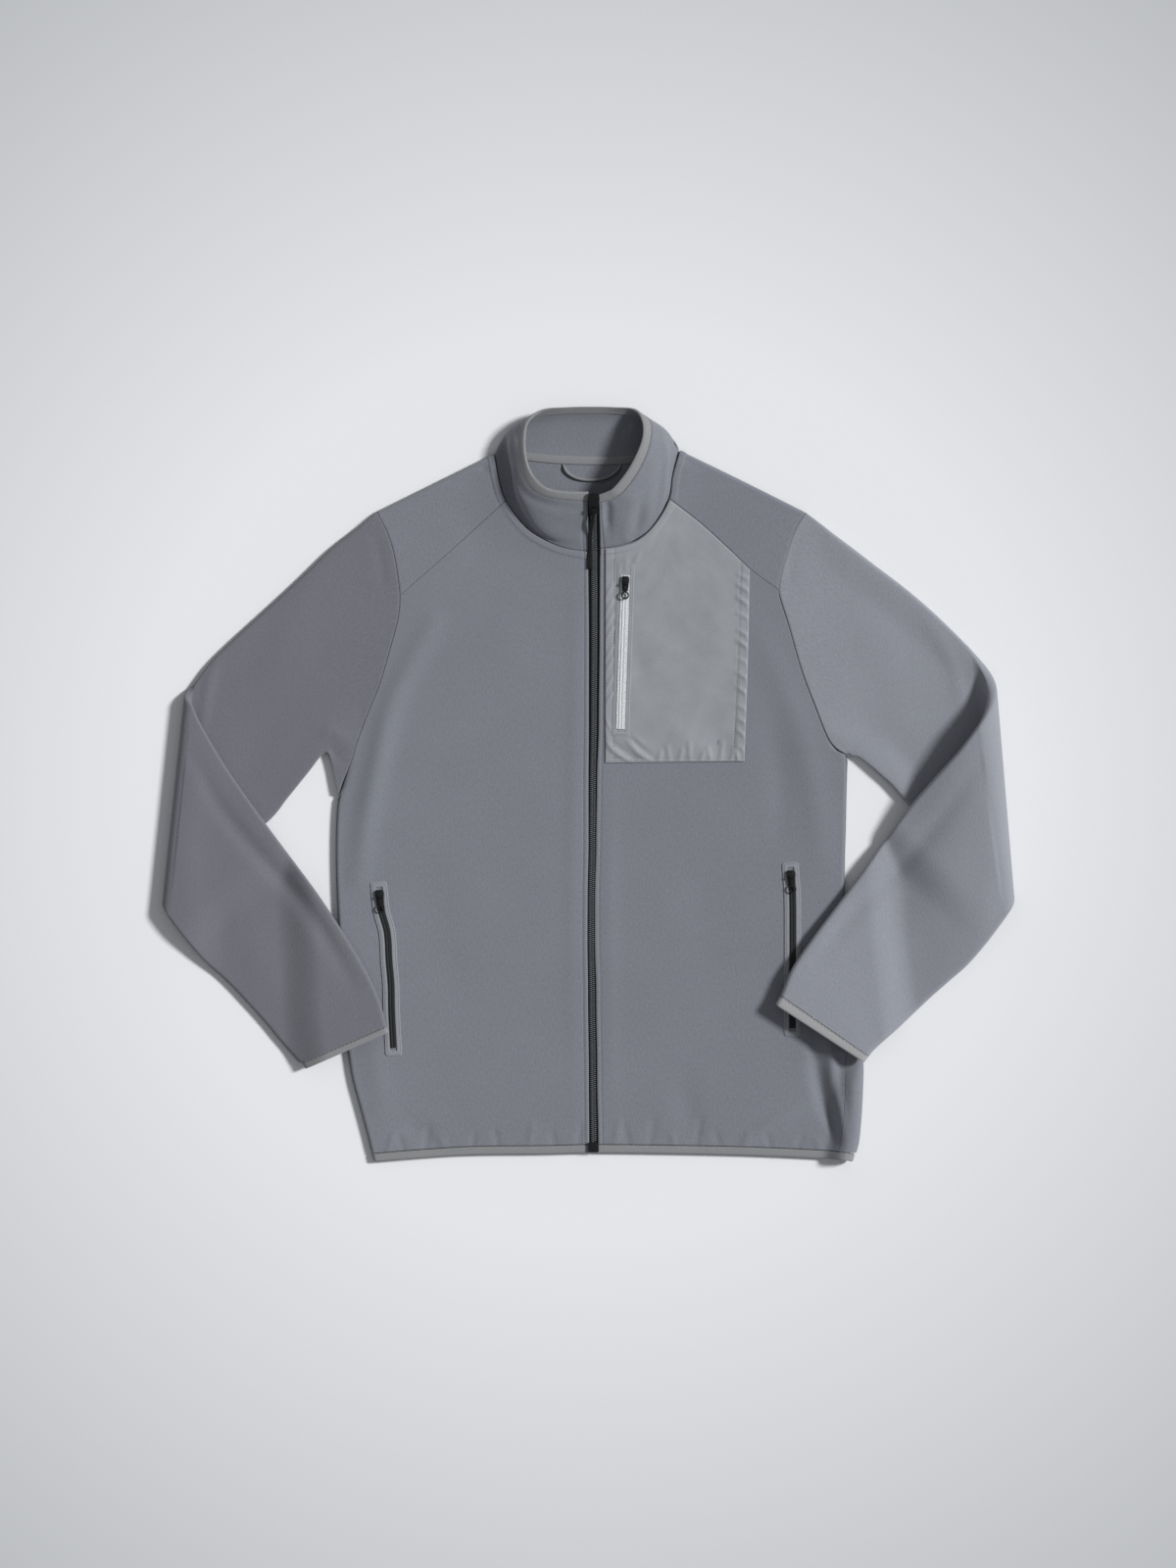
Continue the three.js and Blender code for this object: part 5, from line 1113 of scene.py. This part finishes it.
# Dents and ridges of the collar, by distance round the neck from the zip and up from the seam
collarCreases = [
    {"path": [(300, 40), (318, 32), (340, 20), (362, 6)], "height": 2.4, "width": 6},
    {"path": [(286, 26), (294, 16), (300, 6)], "height": -3.2, "width": 7},
    {"path": [(366, 36), (382, 24), (396, 10)], "height": -3.6, "width": 8},
    {"path": [(410, 52), (424, 38), (428, 26)], "height": -2.8, "width": 7},
    {"path": [(14, 20), (46, 24), (84, 26), (120, 28)], "height": 3.2, "width": 10},
    {"path": [(40, 6), (70, 6), (104, 7), (130, 8)], "height": -2.4, "width": 6},
    {"path": [(8, 46), (46, 46), (96, 44)], "height": -1.5, "width": 5},
    {"path": [(400, 8), (412, 4)], "height": 0.9, "width": 8},
    {"path": [(170, 10), (176, 30), (172, 50)], "height": -0.8, "width": 8},
    {"path": [(240, 8), (244, 30), (252, 50)], "height": 0.9, "width": 9},
    {"path": [(112, 12), (118, 30), (128, 46)], "height": 1.1, "width": 9}]


def collarGrid(h):
    # the collar's rows at heights h, from one end of the zip round to the other
    return gridOn(collarPoints, spread(collar["columns"], collar["round"]), h)


h = np.concatenate([[0, 0.008, 0.02, 0.04], np.linspace(0.04, collar["bound"] - 0.02, collar["rows"])[1:],
                    [collar["bound"] - 0.008, collar["bound"] + 0.003]])
grid, uu, hh = collarGrid(h)
toZip = np.minimum(uu, 1 - uu) * collar["round"]
dip = edgeDip(hh * collar["up"], 1.9, 0.7) + edgeDip((collar["bound"] - hh) * collar["up"] + 0.4, 2, 0.6)
dip += edgeDip(toZip, 1.8, 1.1) + furrow(toZip, front["zipStitch"], 0.8, 0.55)
dip -= bells(collarCreases, uu * collar["round"], hh * collar["up"]) * smooth(toZip, 0, 8)
grid[0] += unit(grid[0] - grid[3]) * 0.5
collarCloth = wallPiece("collarCloth", grid, cloth["fleece"], -1, "fleece", "fleece", "collar", dip=dip)
clothGrid = grid
fromZip = front["zipStitch"] / collar["round"]
for side, u in (("right", fromZip), ("left", 1 - fromZip)):
    h = np.linspace(0.03, collar["bound"], 60)
    around = np.array([-1, 1]) * 1e-3
    flank = np.stack([collarPoints(np.full_like(h, u + s), h) for s in around], axis=1)
    middle = collarPoints(np.full_like(h, u), h)
    up = unit(-np.cross(flank[:, 1] - flank[:, 0], np.gradient(middle, axis=0)))
    stitchesOn(side + "CollarZipStitches", middle - up * 0.25, 3.0, 2.3, 0.5, up=up,
               finish="fleeceThread", slot="fleece")
h = mix(collar["bound"] + 0.006, 1, np.array([0, 0.06, 0.2, 0.45, 0.7, 0.88, 1]))
grid, uu, hh = collarGrid(h)
dip = edgeDip(np.minimum(hh - h[0], h[-1] - hh) * collar["up"], 1.8, 1.0)
collarBand = wallPiece("collarBinding", grid, cloth["bound"], -1, "binding", "binding", "collar_binding",
                       dip=dip)
sheetOf(collarCloth, clothGrid)
up = normalsOf(grid, -1, False)[1]
stitchesOn("collarBindingStitches", grid[1], 2.6, 2.1, 0.5, up=up)
stitchesOn("collarBindingInsideStitches", grid[1] - up * (cloth["bound"] + 0.1), 2.6, 2.1, 0.5, up=-up)
print("collar made")


# Hem binding
def hemPointsAt(q, h):
    # from the zip along one front, round that side, along the back and round the other side to the zip
    up = h * cloth["binding"]
    share = q * 5
    rightHalf = share < 2.5
    lines = [curveAt(plan[n], h * 0.03) for n in ("rightSide", "leftSide")]
    extreme = np.where(rightHalf[:, None], lines[0], lines[1])
    roll = np.where(rightHalf, cloth["roll"], leftRoll(extreme[:, 1]))
    inwards = np.where(rightHalf, 1, -1)
    openAt = np.where(rightHalf, openingAt(-376.0, 1), openingAt(-376.0, 2))
    t = np.where(rightHalf, share, 5 - share)
    xFront = mix(openAt, extreme[:, 0] + inwards * roll, np.clip(t, 0, 1))
    yOf = lambda x: hemAt(x) + up
    angle = math.pi * (0.5 - np.clip(t - 1, 0, 1))
    xSide = extreme[:, 0] + inwards * roll * (1 - np.cos(angle))
    scale = topHeight(extreme[:, 0] + inwards * roll, yOf(extreme[:, 0])) / (2 * roll)
    rise = np.where(angle > 0, mix(1, scale, np.sin(angle)), 1)
    zSide = (roll + roll * np.sin(angle)) * rise
    lowX, highX = plan["rightSide"][0][0] + cloth["roll"], plan["leftSide"][0][0] - leftRoll(-385.0)
    xBack = mix(lowX, highX, np.clip(share - 2, 0, 1))
    x = np.where(t < 1, xFront, np.where(t < 2, xSide, xBack))
    z = np.where(t < 1, topHeight(xFront, yOf(xFront)), np.where(t < 2, zSide, 0))
    return np.column_stack([x, yOf(x), z])


q = np.concatenate([np.linspace(0, 0.2, 90), np.linspace(0.2, 0.4, 22)[1:], np.linspace(0.4, 0.6, 90)[1:],
                    np.linspace(0.6, 0.8, 28)[1:], np.linspace(0.8, 1, 90)[1:]])
h = np.array([0, 0.04, 0.12, 0.25, 0.45, 0.65, 0.82, 0.93, 1])
grid, _, hh = gridOn(hemPointsAt, q, h)
dip = edgeDip(np.minimum(hh, 1 - hh) * cloth["binding"], 1.8, 0.9)
hemBand = wallPiece("hemBinding", grid, cloth["bound"], -1, "binding", "binding", "hem_binding", dip=dip)
sheetOf(backCloth, backGrid)
normal = normalsOf(grid, -1, False)
for side, part in (("right", slice(0, 112)), ("left", slice(-118, None))):
    stitchesOn(side + "HemStitches", grid[6, part], 2.3, 2.9, 0.5, lean=0.6, up=normal[6, part])
print("hem made")


# Chest panel: woven cloth on the left front, up to the neck and yoke seams
chest = {"left": 17.5, "bottom": 21.5, "right": [(159.5, 23), (163, 116), (166, 218.5)], "gap": 0.5,
         "below": 1.2, "neckShare": 0.95, "yokeShare": 0.725, "neckPart": 0.42, "band": 10, "leftStitch": 9,
         "size": (145, 230), "columns": 70, "rows": 110}
# Creases of the thin woven cloth: long ones at the lower corner, short puckers where it is sewn down
chestCreases = [
    {"path": [(17.5, 42.6), (30, 31), (43.6, 22.7)], "height": 1.9, "width": 2.6},
    {"path": [(21, 46), (34, 35), (47, 27)], "height": -1.0, "width": 2.6},
    {"path": [(40.5, 42.6), (52, 31), (63.5, 24.2)], "height": 1.8, "width": 2.6},
    {"path": [(44, 46), (56, 35), (66, 28)], "height": -0.9, "width": 2.4},
    {"path": [(16.8, 67), (20, 61), (22.9, 56.4)], "height": 0.8, "width": 1.8},
    {"path": [(16, 51.8), (21, 46), (25.2, 42.6)], "height": 0.8, "width": 1.8},
    {"path": [(46.6, 48.7), (52, 44), (57.3, 39.5)], "height": 0.7, "width": 2.2},
    {"path": [(39, 231), (38.7, 217)], "height": 0.8, "width": 2.2},
    {"path": [(52.7, 234), (46.6, 225)], "height": 0.8, "width": 2.2},
    {"path": [(130, 52), (136, 40), (142, 30)], "height": -1.6, "width": 14},
    {"path": [(110, 70), (124, 64), (138, 60)], "height": -1.0, "width": 15},
    {"path": [(50, 136), (51, 120), (54, 104)], "height": -1.0, "width": 10},
    {"path": [(84, 56), (97, 49), (110, 45)], "height": 1.0, "width": 13},
    {"path": [(70, 190), (96, 150), (118, 120)], "height": -0.7, "width": 18},
    {"path": [(120, 200), (128, 160), (126, 120)], "height": 0.7, "width": 16}]
chestCreases += [{"path": [(25.5, y + 9), (19, y)], "height": 0.8, "width": 1.9, "fade": 0.2}
                 for y in (194, 178, 163, 150, 131, 118, 100, 84)]
chestCreases += [{"path": [(153, y + 6 + k % 3), (164.5, y)], "height": 0.9 + 0.2 * (k % 3), "width": 2.1,
                  "fade": 0.3}
                 for k, y in enumerate((208, 196, 182, 168, 150, 138, 122, 106, 90, 74, 60, 46, 32))]
chestCreases += [{"path": [(x, 24), (x + lean, 24 + length)], "height": 0.9, "width": 2.1, "fade": 0.3}
                 for x, lean, length in ((72, 2, 9), (83, -2, 14), (93, 3, 11), (104, -1, 17), (115, 3, 9),
                                         (125, -3, 13), (135, 2, 18), (146, 3, 12), (153, -2, 9))]


def chestPlan(u, v):
    # plan of the woven panel: u from its left edge to its right, v from its bottom to the neck and yoke seams
    neck, yoke = plan["leftNeck"], plan["leftYokeSeam"][::-1]
    top = joined(lineOf(neck, chest["neckShare"], neckRow / (len(neck) - 1)),
                 lineOf(yoke, 0, chest["yokeShare"]), chest["neckPart"])
    side = lineOf(chest["right"])
    corner = np.array((chest["left"], chest["bottom"], 0.0))
    topY = top(np.zeros(1))[0, 1]
    left = lambda t: mix(corner, np.array((chest["left"], topY, 0.0)), t[:, None])
    bottom = lambda t: mix(corner, side(np.zeros(1))[0], t[:, None])
    return panelAt(u, v, left, side, bottom, lambda t: top(t) - (0, chest["below"], 0), cloth["ease"])


width, length = chest["size"]
chestGrid, uu, vv = gridOn(chestPlan, spread(chest["columns"], width), spread(chest["rows"], length))
x, y = chestGrid[..., 0], chestGrid[..., 1]
chestGrid[..., 2] = topHeight(x, y) + chest["gap"] + cloth["nylon"]
toEdge = np.minimum.reduce([uu * width, (1 - uu) * width, vv * length, (1 - vv) * length])
toRight = np.interp(y, [p[1] for p in chest["right"]], [p[0] for p in chest["right"]]) - x
dip = edgeDip(toEdge, 1.2, 0.5) - bells(chestCreases, x, y) * smooth(toEdge, 0, 2.5)
dip += furrow(toRight, chest["band"], 0.8, 0.35)
dip -= 0.3 * (1 - smooth(toRight, chest["band"] - 1, chest["band"] + 0.6))
dip += furrow(x, chest["left"] + chest["leftStitch"], 0.8, 0.35) + furrow(y, chest["bottom"] + 4.5, 0.8, 0.3)
dip -= neckBand(x, y)
chestCloth = wallPiece("chestPanelCloth", chestGrid, cloth["nylon"], 1, "nylon", "woven_nylon", "chest_panel",
                       dip=dip)
sheetOf(chestCloth, chestGrid)
onPanel = chest["gap"] + cloth["nylon"] - 0.1
edge = curveAt(chest["right"], np.linspace(0.02, 0.97, 90))
leftX = chest["left"] + chest["leftStitch"]
for name, line in (
        ("chestEdge", edge - (1.6, 0, 0)), ("chestBand", edge - (chest["band"], 0, 0)),
        ("chestLeft", np.linspace((leftX, 24, 0), (leftX, 232, 0), 90))):
    stitchesOn(name + "Stitches", onCloth(line, onPanel), 3.0, 2.2, 0.45,
               finish="nylonThread", slot="woven_nylon")
bottomY = chest["bottom"] + 2.2
line = np.linspace((18.5, bottomY, 0), (158, bottomY, 0), 120)
stitchesOn("chestBottomStitches", onCloth(line, onPanel), 2.0, 2.8, 0.5, lean=0.6,
           finish="nylonThread", slot="woven_nylon")
print("chest panel made")


# Zips
mainTape = {"half": 12, "low": -3.4, "top": -2.7, "chain": 2.8, "chainTop": 0.3}
pocketTape = {"half": 3.4, "low": 0.4, "top": 0.8, "chain": 1.7, "chainTop": 1.4}
chestTape = {"half": 4.6, "low": 1.9, "top": 2.4, "chain": 1.9, "chainTop": 3.0}
zipLines = {
    "chest": [(38.4, 213), (36.2, 150), (34.4, 96), (33.2, 56)],
    "right": [(-213, -108), (-210.5, -130), (-205, -151), (-203, -181), (-201, -205), (-200.5, -230),
              (-198.5, -269)],
    "left": [(206.5, -88), (208.2, -112), (208.6, -160), (208.5, -249)]}


def onFrontZip(y, across, up):
    # a place on the front's part of the main zip
    x = openingMiddle(y) + across
    return np.column_stack([x, y, topHeight(x, y) + up])


def onCollarZip(h, across, up):
    # a place on the collar's part: between its two ends, or past them along the collar
    right, left = collarPoints(np.zeros_like(h), h), collarPoints(np.ones_like(h), h)
    half = np.linalg.norm(right - left, axis=1) / 2
    beyond = np.maximum(np.abs(across) - half, 0) / collar["round"]
    u = np.where(across < 0, beyond, 1 - beyond)
    middle = mix(right, left, ((across + half) / (2 * half))[:, None])
    point = np.where(beyond[:, None] > 0, collarPoints(u, h), middle)
    step = 1e-3
    alongU = collarPoints(np.minimum(u + step, 1), h) - collarPoints(np.maximum(u - step, 0), h)
    alongH = collarPoints(u, np.minimum(h + step, 1)) - collarPoints(u, np.maximum(h - step, 0))
    return point + unit(-np.cross(alongU, alongH)) * np.asarray(up, float).reshape(-1, 1)


def alongLine(line, t):
    # direction of a line at shares of it, from its places just before and after
    return unit(curveAt(line, np.minimum(t + 1e-3, 1)) - curveAt(line, np.maximum(t - 1e-3, 0)))


def onPanelZip(line):
    # a place on a zip set on a panel, at a share of its line
    def at(t, across, up):
        # the line's place, moved across it on the plan and up from the cloth
        point, along = curveAt(line, t), alongLine(line, t)
        x, y = point[:, 0] + along[:, 1] * across, point[:, 1] - along[:, 0] * across
        return np.column_stack([x, y, topHeight(x, y) + up])
    return at


def ribbon(sections):
    # closed band through sections of equal corners: sides between them and fans at both ends
    rows, corners = sections.shape[:2]
    side = gridFaces(rows, corners, True)
    points = sections.reshape(-1, 3)
    ends = [sections[0].mean(0), sections[-1].mean(0)]
    points = np.concatenate([points, ends])
    k = np.arange(corners)
    n = (k + 1) % corners
    last = (rows - 1) * corners
    low = np.column_stack([np.full(corners, len(points) - 2), n, k])
    high = np.column_stack([np.full(corners, len(points) - 1), k + last, n + last])
    triangles = np.concatenate([side[:, [0, 1, 2]], side[:, [0, 2, 3]], low, high])
    return points, triangles


def bandAlong(pointsAt, stations, corners):
    # the corners of a section at each station: across and up from the place there
    columns = [pointsAt(stations, np.full_like(stations, a), np.full_like(stations, b)) for a, b in corners]
    return np.stack(columns, axis=1)


def mainZipBand(corners):
    # one closed band from the hem up the fronts and on up the collar
    return ribbon(np.concatenate([bandAlong(onFrontZip, np.linspace(-375, 238, 240), corners),
                                  bandAlong(onCollarZip, np.linspace(0.03, 0.96, 40), corners)]))


half, low, high = mainTape["half"], mainTape["low"], mainTape["top"]
points, faces = mainZipBand([(-half, low), (half, low), (half, high), (-half, high)])
closedPiece("mainZipTape", points, faces, "tape", "zip_tape", "main_zip")


# A coil of the chain: sides and rings, taper of its ends, bow in radii, then radius, lean along the chain
# and depth below the chain's top in millimetres, width in pitches, length in widths of the chain
coil = {"sides": 6, "rings": 5, "taper": 0.86, "bow": 0.7, "radius": 0.6, "lean": 0.35, "wide": 0.3,
        "long": 1.25, "below": 0.75}


def teeth(centres, along, up, length, wide, lean):
    # a row of small coils: each a short bowed tube laid across the chain and leaning along it
    s = np.linspace(-1, 1, coil["rings"])
    bow = (1 - s ** 2) * coil["radius"] * coil["bow"]
    axis = (centres[:, None] + np.cross(along, up)[:, None] * (s * length / 2)[None, :, None]
            + along[:, None] * (s * lean)[None, :, None] + up[:, None] * bow[None, :, None])
    angle = np.arange(coil["sides"]) * 2 * np.pi / coil["sides"]
    swell = np.sqrt(np.maximum(1 - (s * coil["taper"]) ** 2, 0.05))
    ring = (along[:, None, None] * np.cos(angle)[None, None, :, None] * wide
            + up[:, None, None] * np.sin(angle)[None, None, :, None] * coil["radius"])
    points = axis[:, :, None] + ring * swell[None, :, None, None]
    return points.reshape(-1, 3), bars(coil["rings"], coil["sides"], len(centres))


def chainOf(name, path, tape, pitch=2.0):
    # even places along a dense path, two teeth at each, half a pitch apart
    whole, read = reader(path)
    at = np.arange(pitch, whole - pitch, pitch)
    centre = read(path, at)
    along = unit(read(path, at + 1) - centre)
    sideways = unit(np.cross(along, (0, 0, 1)))
    up = np.cross(sideways, along)
    points, faces = [], []
    for sign in (-1, 1):
        move = sideways * sign * tape["chain"] * 0.5 + along * (pitch * 0.25 * sign)
        row, one = teeth(centre + move + up * (tape["chainTop"] - coil["below"]), along, up,
                         tape["chain"] * coil["long"], pitch * coil["wide"], coil["lean"] * sign)
        faces.append(outwards(row, one) + sum(map(len, points)))
        points.append(row)
    mesh = addMesh(name, np.concatenate(points), np.concatenate(faces), materials["coil"])
    place(mesh, "zip_tape")


half, low, high = mainTape["chain"] * 0.8, mainTape["top"], -0.9
points, faces = mainZipBand([(-half, low), (half, low), (half, high), (-half, high)])
closedPiece("mainZipCord", points, faces, "tape", "zip_tape")
path = np.concatenate([onFrontZip(np.linspace(-366, 238, 300), 0.0, 0.0),
                       onCollarZip(np.linspace(0.02, 0.93, 40), np.zeros(40), np.zeros(40))])
chainOf("mainZipTeeth", path, mainTape)

for side, tape, finish, slot in (("right", pocketTape, "tape", "zip_tape"),
                                 ("left", pocketTape, "tape", "zip_tape"),
                                 ("chest", chestTape, "reflective", "reflective_tape")):
    half, low, high, chain, top = (tape[k] for k in ("half", "low", "top", "chain", "chainTop"))
    rim, groove = 0.25, 0.35
    corners = [(-half, low), (half, low), (half, high), (chain + rim, high), (chain, top), (groove, top),
               (0, top - groove), (-groove, top), (-chain, top), (-chain - rim, high), (-half, high)]
    points, faces = ribbon(bandAlong(onPanelZip(zipLines[side]), np.linspace(0, 1, 90), corners))
    node = "chest_zip" if side == "chest" else side + "_pocket_zip"
    name = side + ("ZipTape" if side == "chest" else "PocketZipTape")
    closedPiece(name, points, faces, finish, slot, node)


def frameRound(name, side, frameSize, finish, slot, stitch):
    # a flat sewn frame: its section carried round a rounded rectangle about the zip's line
    zipLine = zipLines[side]
    length = reader(curveAt(zipLine, np.linspace(0, 1, 60)))[0]
    inner, wide, past, base, corner, rise = (
        frameSize[k] for k in ("inner", "wide", "past", "base", "corner", "rise"))
    a = np.linspace(0, np.pi / 2, 7)
    ends = ((1, 1, 0), (-1, 1, np.pi / 2), (-1, -1, np.pi), (1, -1, np.pi * 1.5))
    tops = {1: past[1], -1: past[0]}

    def loopAt(out):
        # the corners' arcs, joined by the straight sides with a place every few millimetres
        round_ = corner + out * 0.45
        half, points = inner + out, []
        for sx, sy, turn in ends:
            reachX, reachY = half - round_, tops[sy] + out - round_
            centreY = length + reachY if sy > 0 else -reachY
            x, y = sx * reachX + round_ * np.cos(a + turn), centreY + round_ * np.sin(a + turn)
            points.append(np.column_stack([x, y]))
        left = np.linspace(points[1][-1], points[2][0], 80)[1:-1]
        right = np.linspace(points[3][-1], points[0][0], 80)[1:-1]
        return np.concatenate([points[0], points[1], left, points[2], points[3], right])

    def onto(flat, up):
        # a place beside the zip's line, or past its ends along it, on the cloth and above it by up
        t = flat[:, 1] / length
        inside = np.clip(t, 0, 1)
        point = onPanelZip(zipLine)(inside, flat[:, 0], 0.0)
        point = point + alongLine(zipLine, inside) * ((t - inside) * length)[:, None]
        return onCloth(point, up)

    rings = [(0, -0.2), (0, 0.7), (0.25, 1.0), (0.7, 1.1), (stitch - 0.6, 1.15), (stitch, 0.8),
             (stitch + 0.6, 1.1), (wide - 0.7, 1.0), (wide - 0.2, 0.7), (wide, 0.1), (wide, -0.2)]
    grid = np.stack([onto(loopAt(out), base + up * rise) for out, up in rings])
    rows, columns = grid.shape[:2]
    around = gridFaces(rows, columns, True)
    i = np.arange(columns)
    last = (rows - 1) * columns
    under = np.column_stack([i + last, (i + 1) % columns + last, (i + 1) % columns, i])
    faces = np.concatenate([around, under])
    faces = np.concatenate([faces[:, [0, 1, 2]], faces[:, [0, 2, 3]]])
    closedPiece(name, grid.reshape(-1, 3), faces, finish, slot, mapped=True)
    row = onto(loopAt(stitch), base + 0.85 * rise)
    stitchesOn(name + "Stitches", np.vstack([row, row[:1]]), 2.8, 2.1, 0.45,
               finish=frameSize["thread"], slot=slot)


pocketFrame = {"inner": 3.4, "wide": 5.2, "past": (3.0, 3.0), "corner": 0.6, "base": 0.0, "rise": 1,
               "thread": "fleeceThread"}
chestFrame = {"inner": 4.7, "wide": 4.4, "past": (8.0, 3.0), "corner": 0.6, "base": 1.2, "rise": 0.55,
              "thread": "nylonThread"}
for side in ("right", "left"):
    frameRound(side + "PocketFrame", side, pocketFrame, "frame", "fleece", 3.6)
frameRound("chestZipFrame", "chest", chestFrame, "nylon", "woven_nylon", 2.8)
print("zips made")


# Sliders, pulls and the end box: the solids with rounded edges
def softened(node, name, width, body="root"):
    # the solid's own mesh, merged, with its sharp edges rounded
    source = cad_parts[node]
    mesh = source.data.copy()
    mesh.transform(source.matrix_world)
    mesh.materials.clear()
    mesh.materials.append(materials["metal"])
    piece = bpy.data.objects.new(name, mesh)
    bpy.context.scene.collection.objects.link(piece)
    weld = piece.modifiers.new("weld", "WELD")
    weld.merge_threshold = 1e-6
    bevel = piece.modifiers.new("round", "BEVEL")
    bevel.width = width * mm
    bevel.segments = 3
    bevel.limit_method = "ANGLE"
    bevel.angle_limit = math.radians(30)
    mesh.polygons.foreach_set("use_smooth", np.ones(len(mesh.polygons), bool))
    return place(piece, "slider_metal", node, body=body)


softened("zip_end_box", "zipEndBox", 0.5)
softened("main_slider", "mainSliderMetal", 0.3)
softened("main_pull", "mainPullStrap", 0.25, "main_pull")
for node in ("chest", "right_pocket", "left_pocket"):
    name = node.replace("_p", "P")
    softened(node + "_slider", name + "SliderMetal", 0.25)
    softened(node + "_pull", name + "PullRing", 0.18, node + "_pull")

# Neck tape and hanger loop
neckTape = {"from": -73, "to": 72, "half": 4, "low": 2.5, "high": 3.2, "up": 1}
loop = {"path": [(-27, 330), (-25, 325), (-22, 318.5), (-13, 312.5), (2, 310), (18, 312), (28, 318),
                 (33, 324.5), (35, 330)], "sides": 10, "radius": 1.6, "endRadius": 0.9, "height": 3.7,
        "endHeight": 1.5}


def tapePlace(t, across, up):
    # a place on the neck tape, which follows the back of the neck at its own height
    y = curveAt(plan["backNeck"][1:6], t)[:, 1] + neckTape["up"] - across
    return np.column_stack([mix(neckTape["from"], neckTape["to"], t), y, np.broadcast_to(up, t.shape)])


half, low, high = neckTape["half"], neckTape["low"], neckTape["high"]
corners = [(-half, low), (half, low), (half, high - 0.2), (half - 0.6, high), (-half + 0.6, high),
           (-half, high - 0.2)]
points, faces = ribbon(bandAlong(tapePlace, np.linspace(0, 1, 60), corners))
closedPiece("neckTapeCloth", points, faces, "binding", "binding", "neck_tape", mapped=True)
for name, across in (("low", half - 0.9), ("high", 0.9 - half)):
    line = tapePlace(np.linspace(0, 1, 120), across, high)
    stitchesOn(name + "NeckTapeStitches", line, 2.6, 2.0, 0.45)


def tube(line, radius, sides):
    # circle carried along a nearly level line
    sideways = np.cross(unit(np.gradient(line, axis=0)), (0, 0, 1))
    angle = np.arange(sides) * 2 * np.pi / sides
    ring = (sideways[:, None] * np.cos(angle)[None, :, None]
            + np.array((0, 0, 1.0)) * np.sin(angle)[None, :, None]) * radius[:, None, None]
    return ribbon(line[:, None] + ring)


s = np.linspace(0, 1, 60)
line = curveAt([(*p, 0) for p in loop["path"]], s)
inner = smooth(np.minimum(s, 1 - s), 0.05, 0.2)  # its ends go flat under the tape
line[:, 2] = mix(loop["endHeight"], loop["height"], inner)
points, faces = tube(line, mix(loop["endRadius"], loop["radius"], inner), loop["sides"])
closedPiece("hangerLoopCord", points, faces, "binding", "binding", "hanger_loop", mapped=True)
print("neck pieces made")

# Light and camera
def distantLight(name, fromWhere, strength, softness):
    # even light from one side; softness is how wide its disc looks, in degrees
    light = bpy.data.lights.new(name, "SUN")
    light.energy = strength
    light.angle = math.radians(softness)
    lamp = bpy.data.objects.new(name, light)
    bpy.context.scene.collection.objects.link(lamp)
    lamp.location = fromWhere
    lamp.rotation_euler = aimed(-np.array(fromWhere, float))
    return lamp


def aimed(direction):
    # turn that points local -Z along a direction
    x, y, z = direction / np.linalg.norm(direction)
    return (math.acos(-z), 0, math.atan2(-x, y))


distantLight("keyLight", (3.0, 1.0, 2.7), 3.15, 11)
world = bpy.data.worlds.new("studio")
world.use_nodes = True
world.node_tree.nodes["Background"].inputs["Color"].default_value = (0.86, 0.87, 0.9, 1)
world.node_tree.nodes["Background"].inputs["Strength"].default_value = 0.3
bpy.context.scene.world = world
bpy.context.scene.view_settings.view_transform = "Standard"

camera = bpy.data.cameras.new("camera")
camera.sensor_fit = "VERTICAL"
camera.sensor_height = 24
camera.lens = camera.sensor_height / 2 / (studio["view"] / 2 / studio["camera"])
cameraObject = bpy.data.objects.new("camera", camera)
cameraObject.location = (0, 0, studio["camera"])
bpy.context.scene.collection.objects.link(cameraObject)
bpy.context.scene.camera = cameraObject
print("studio made")
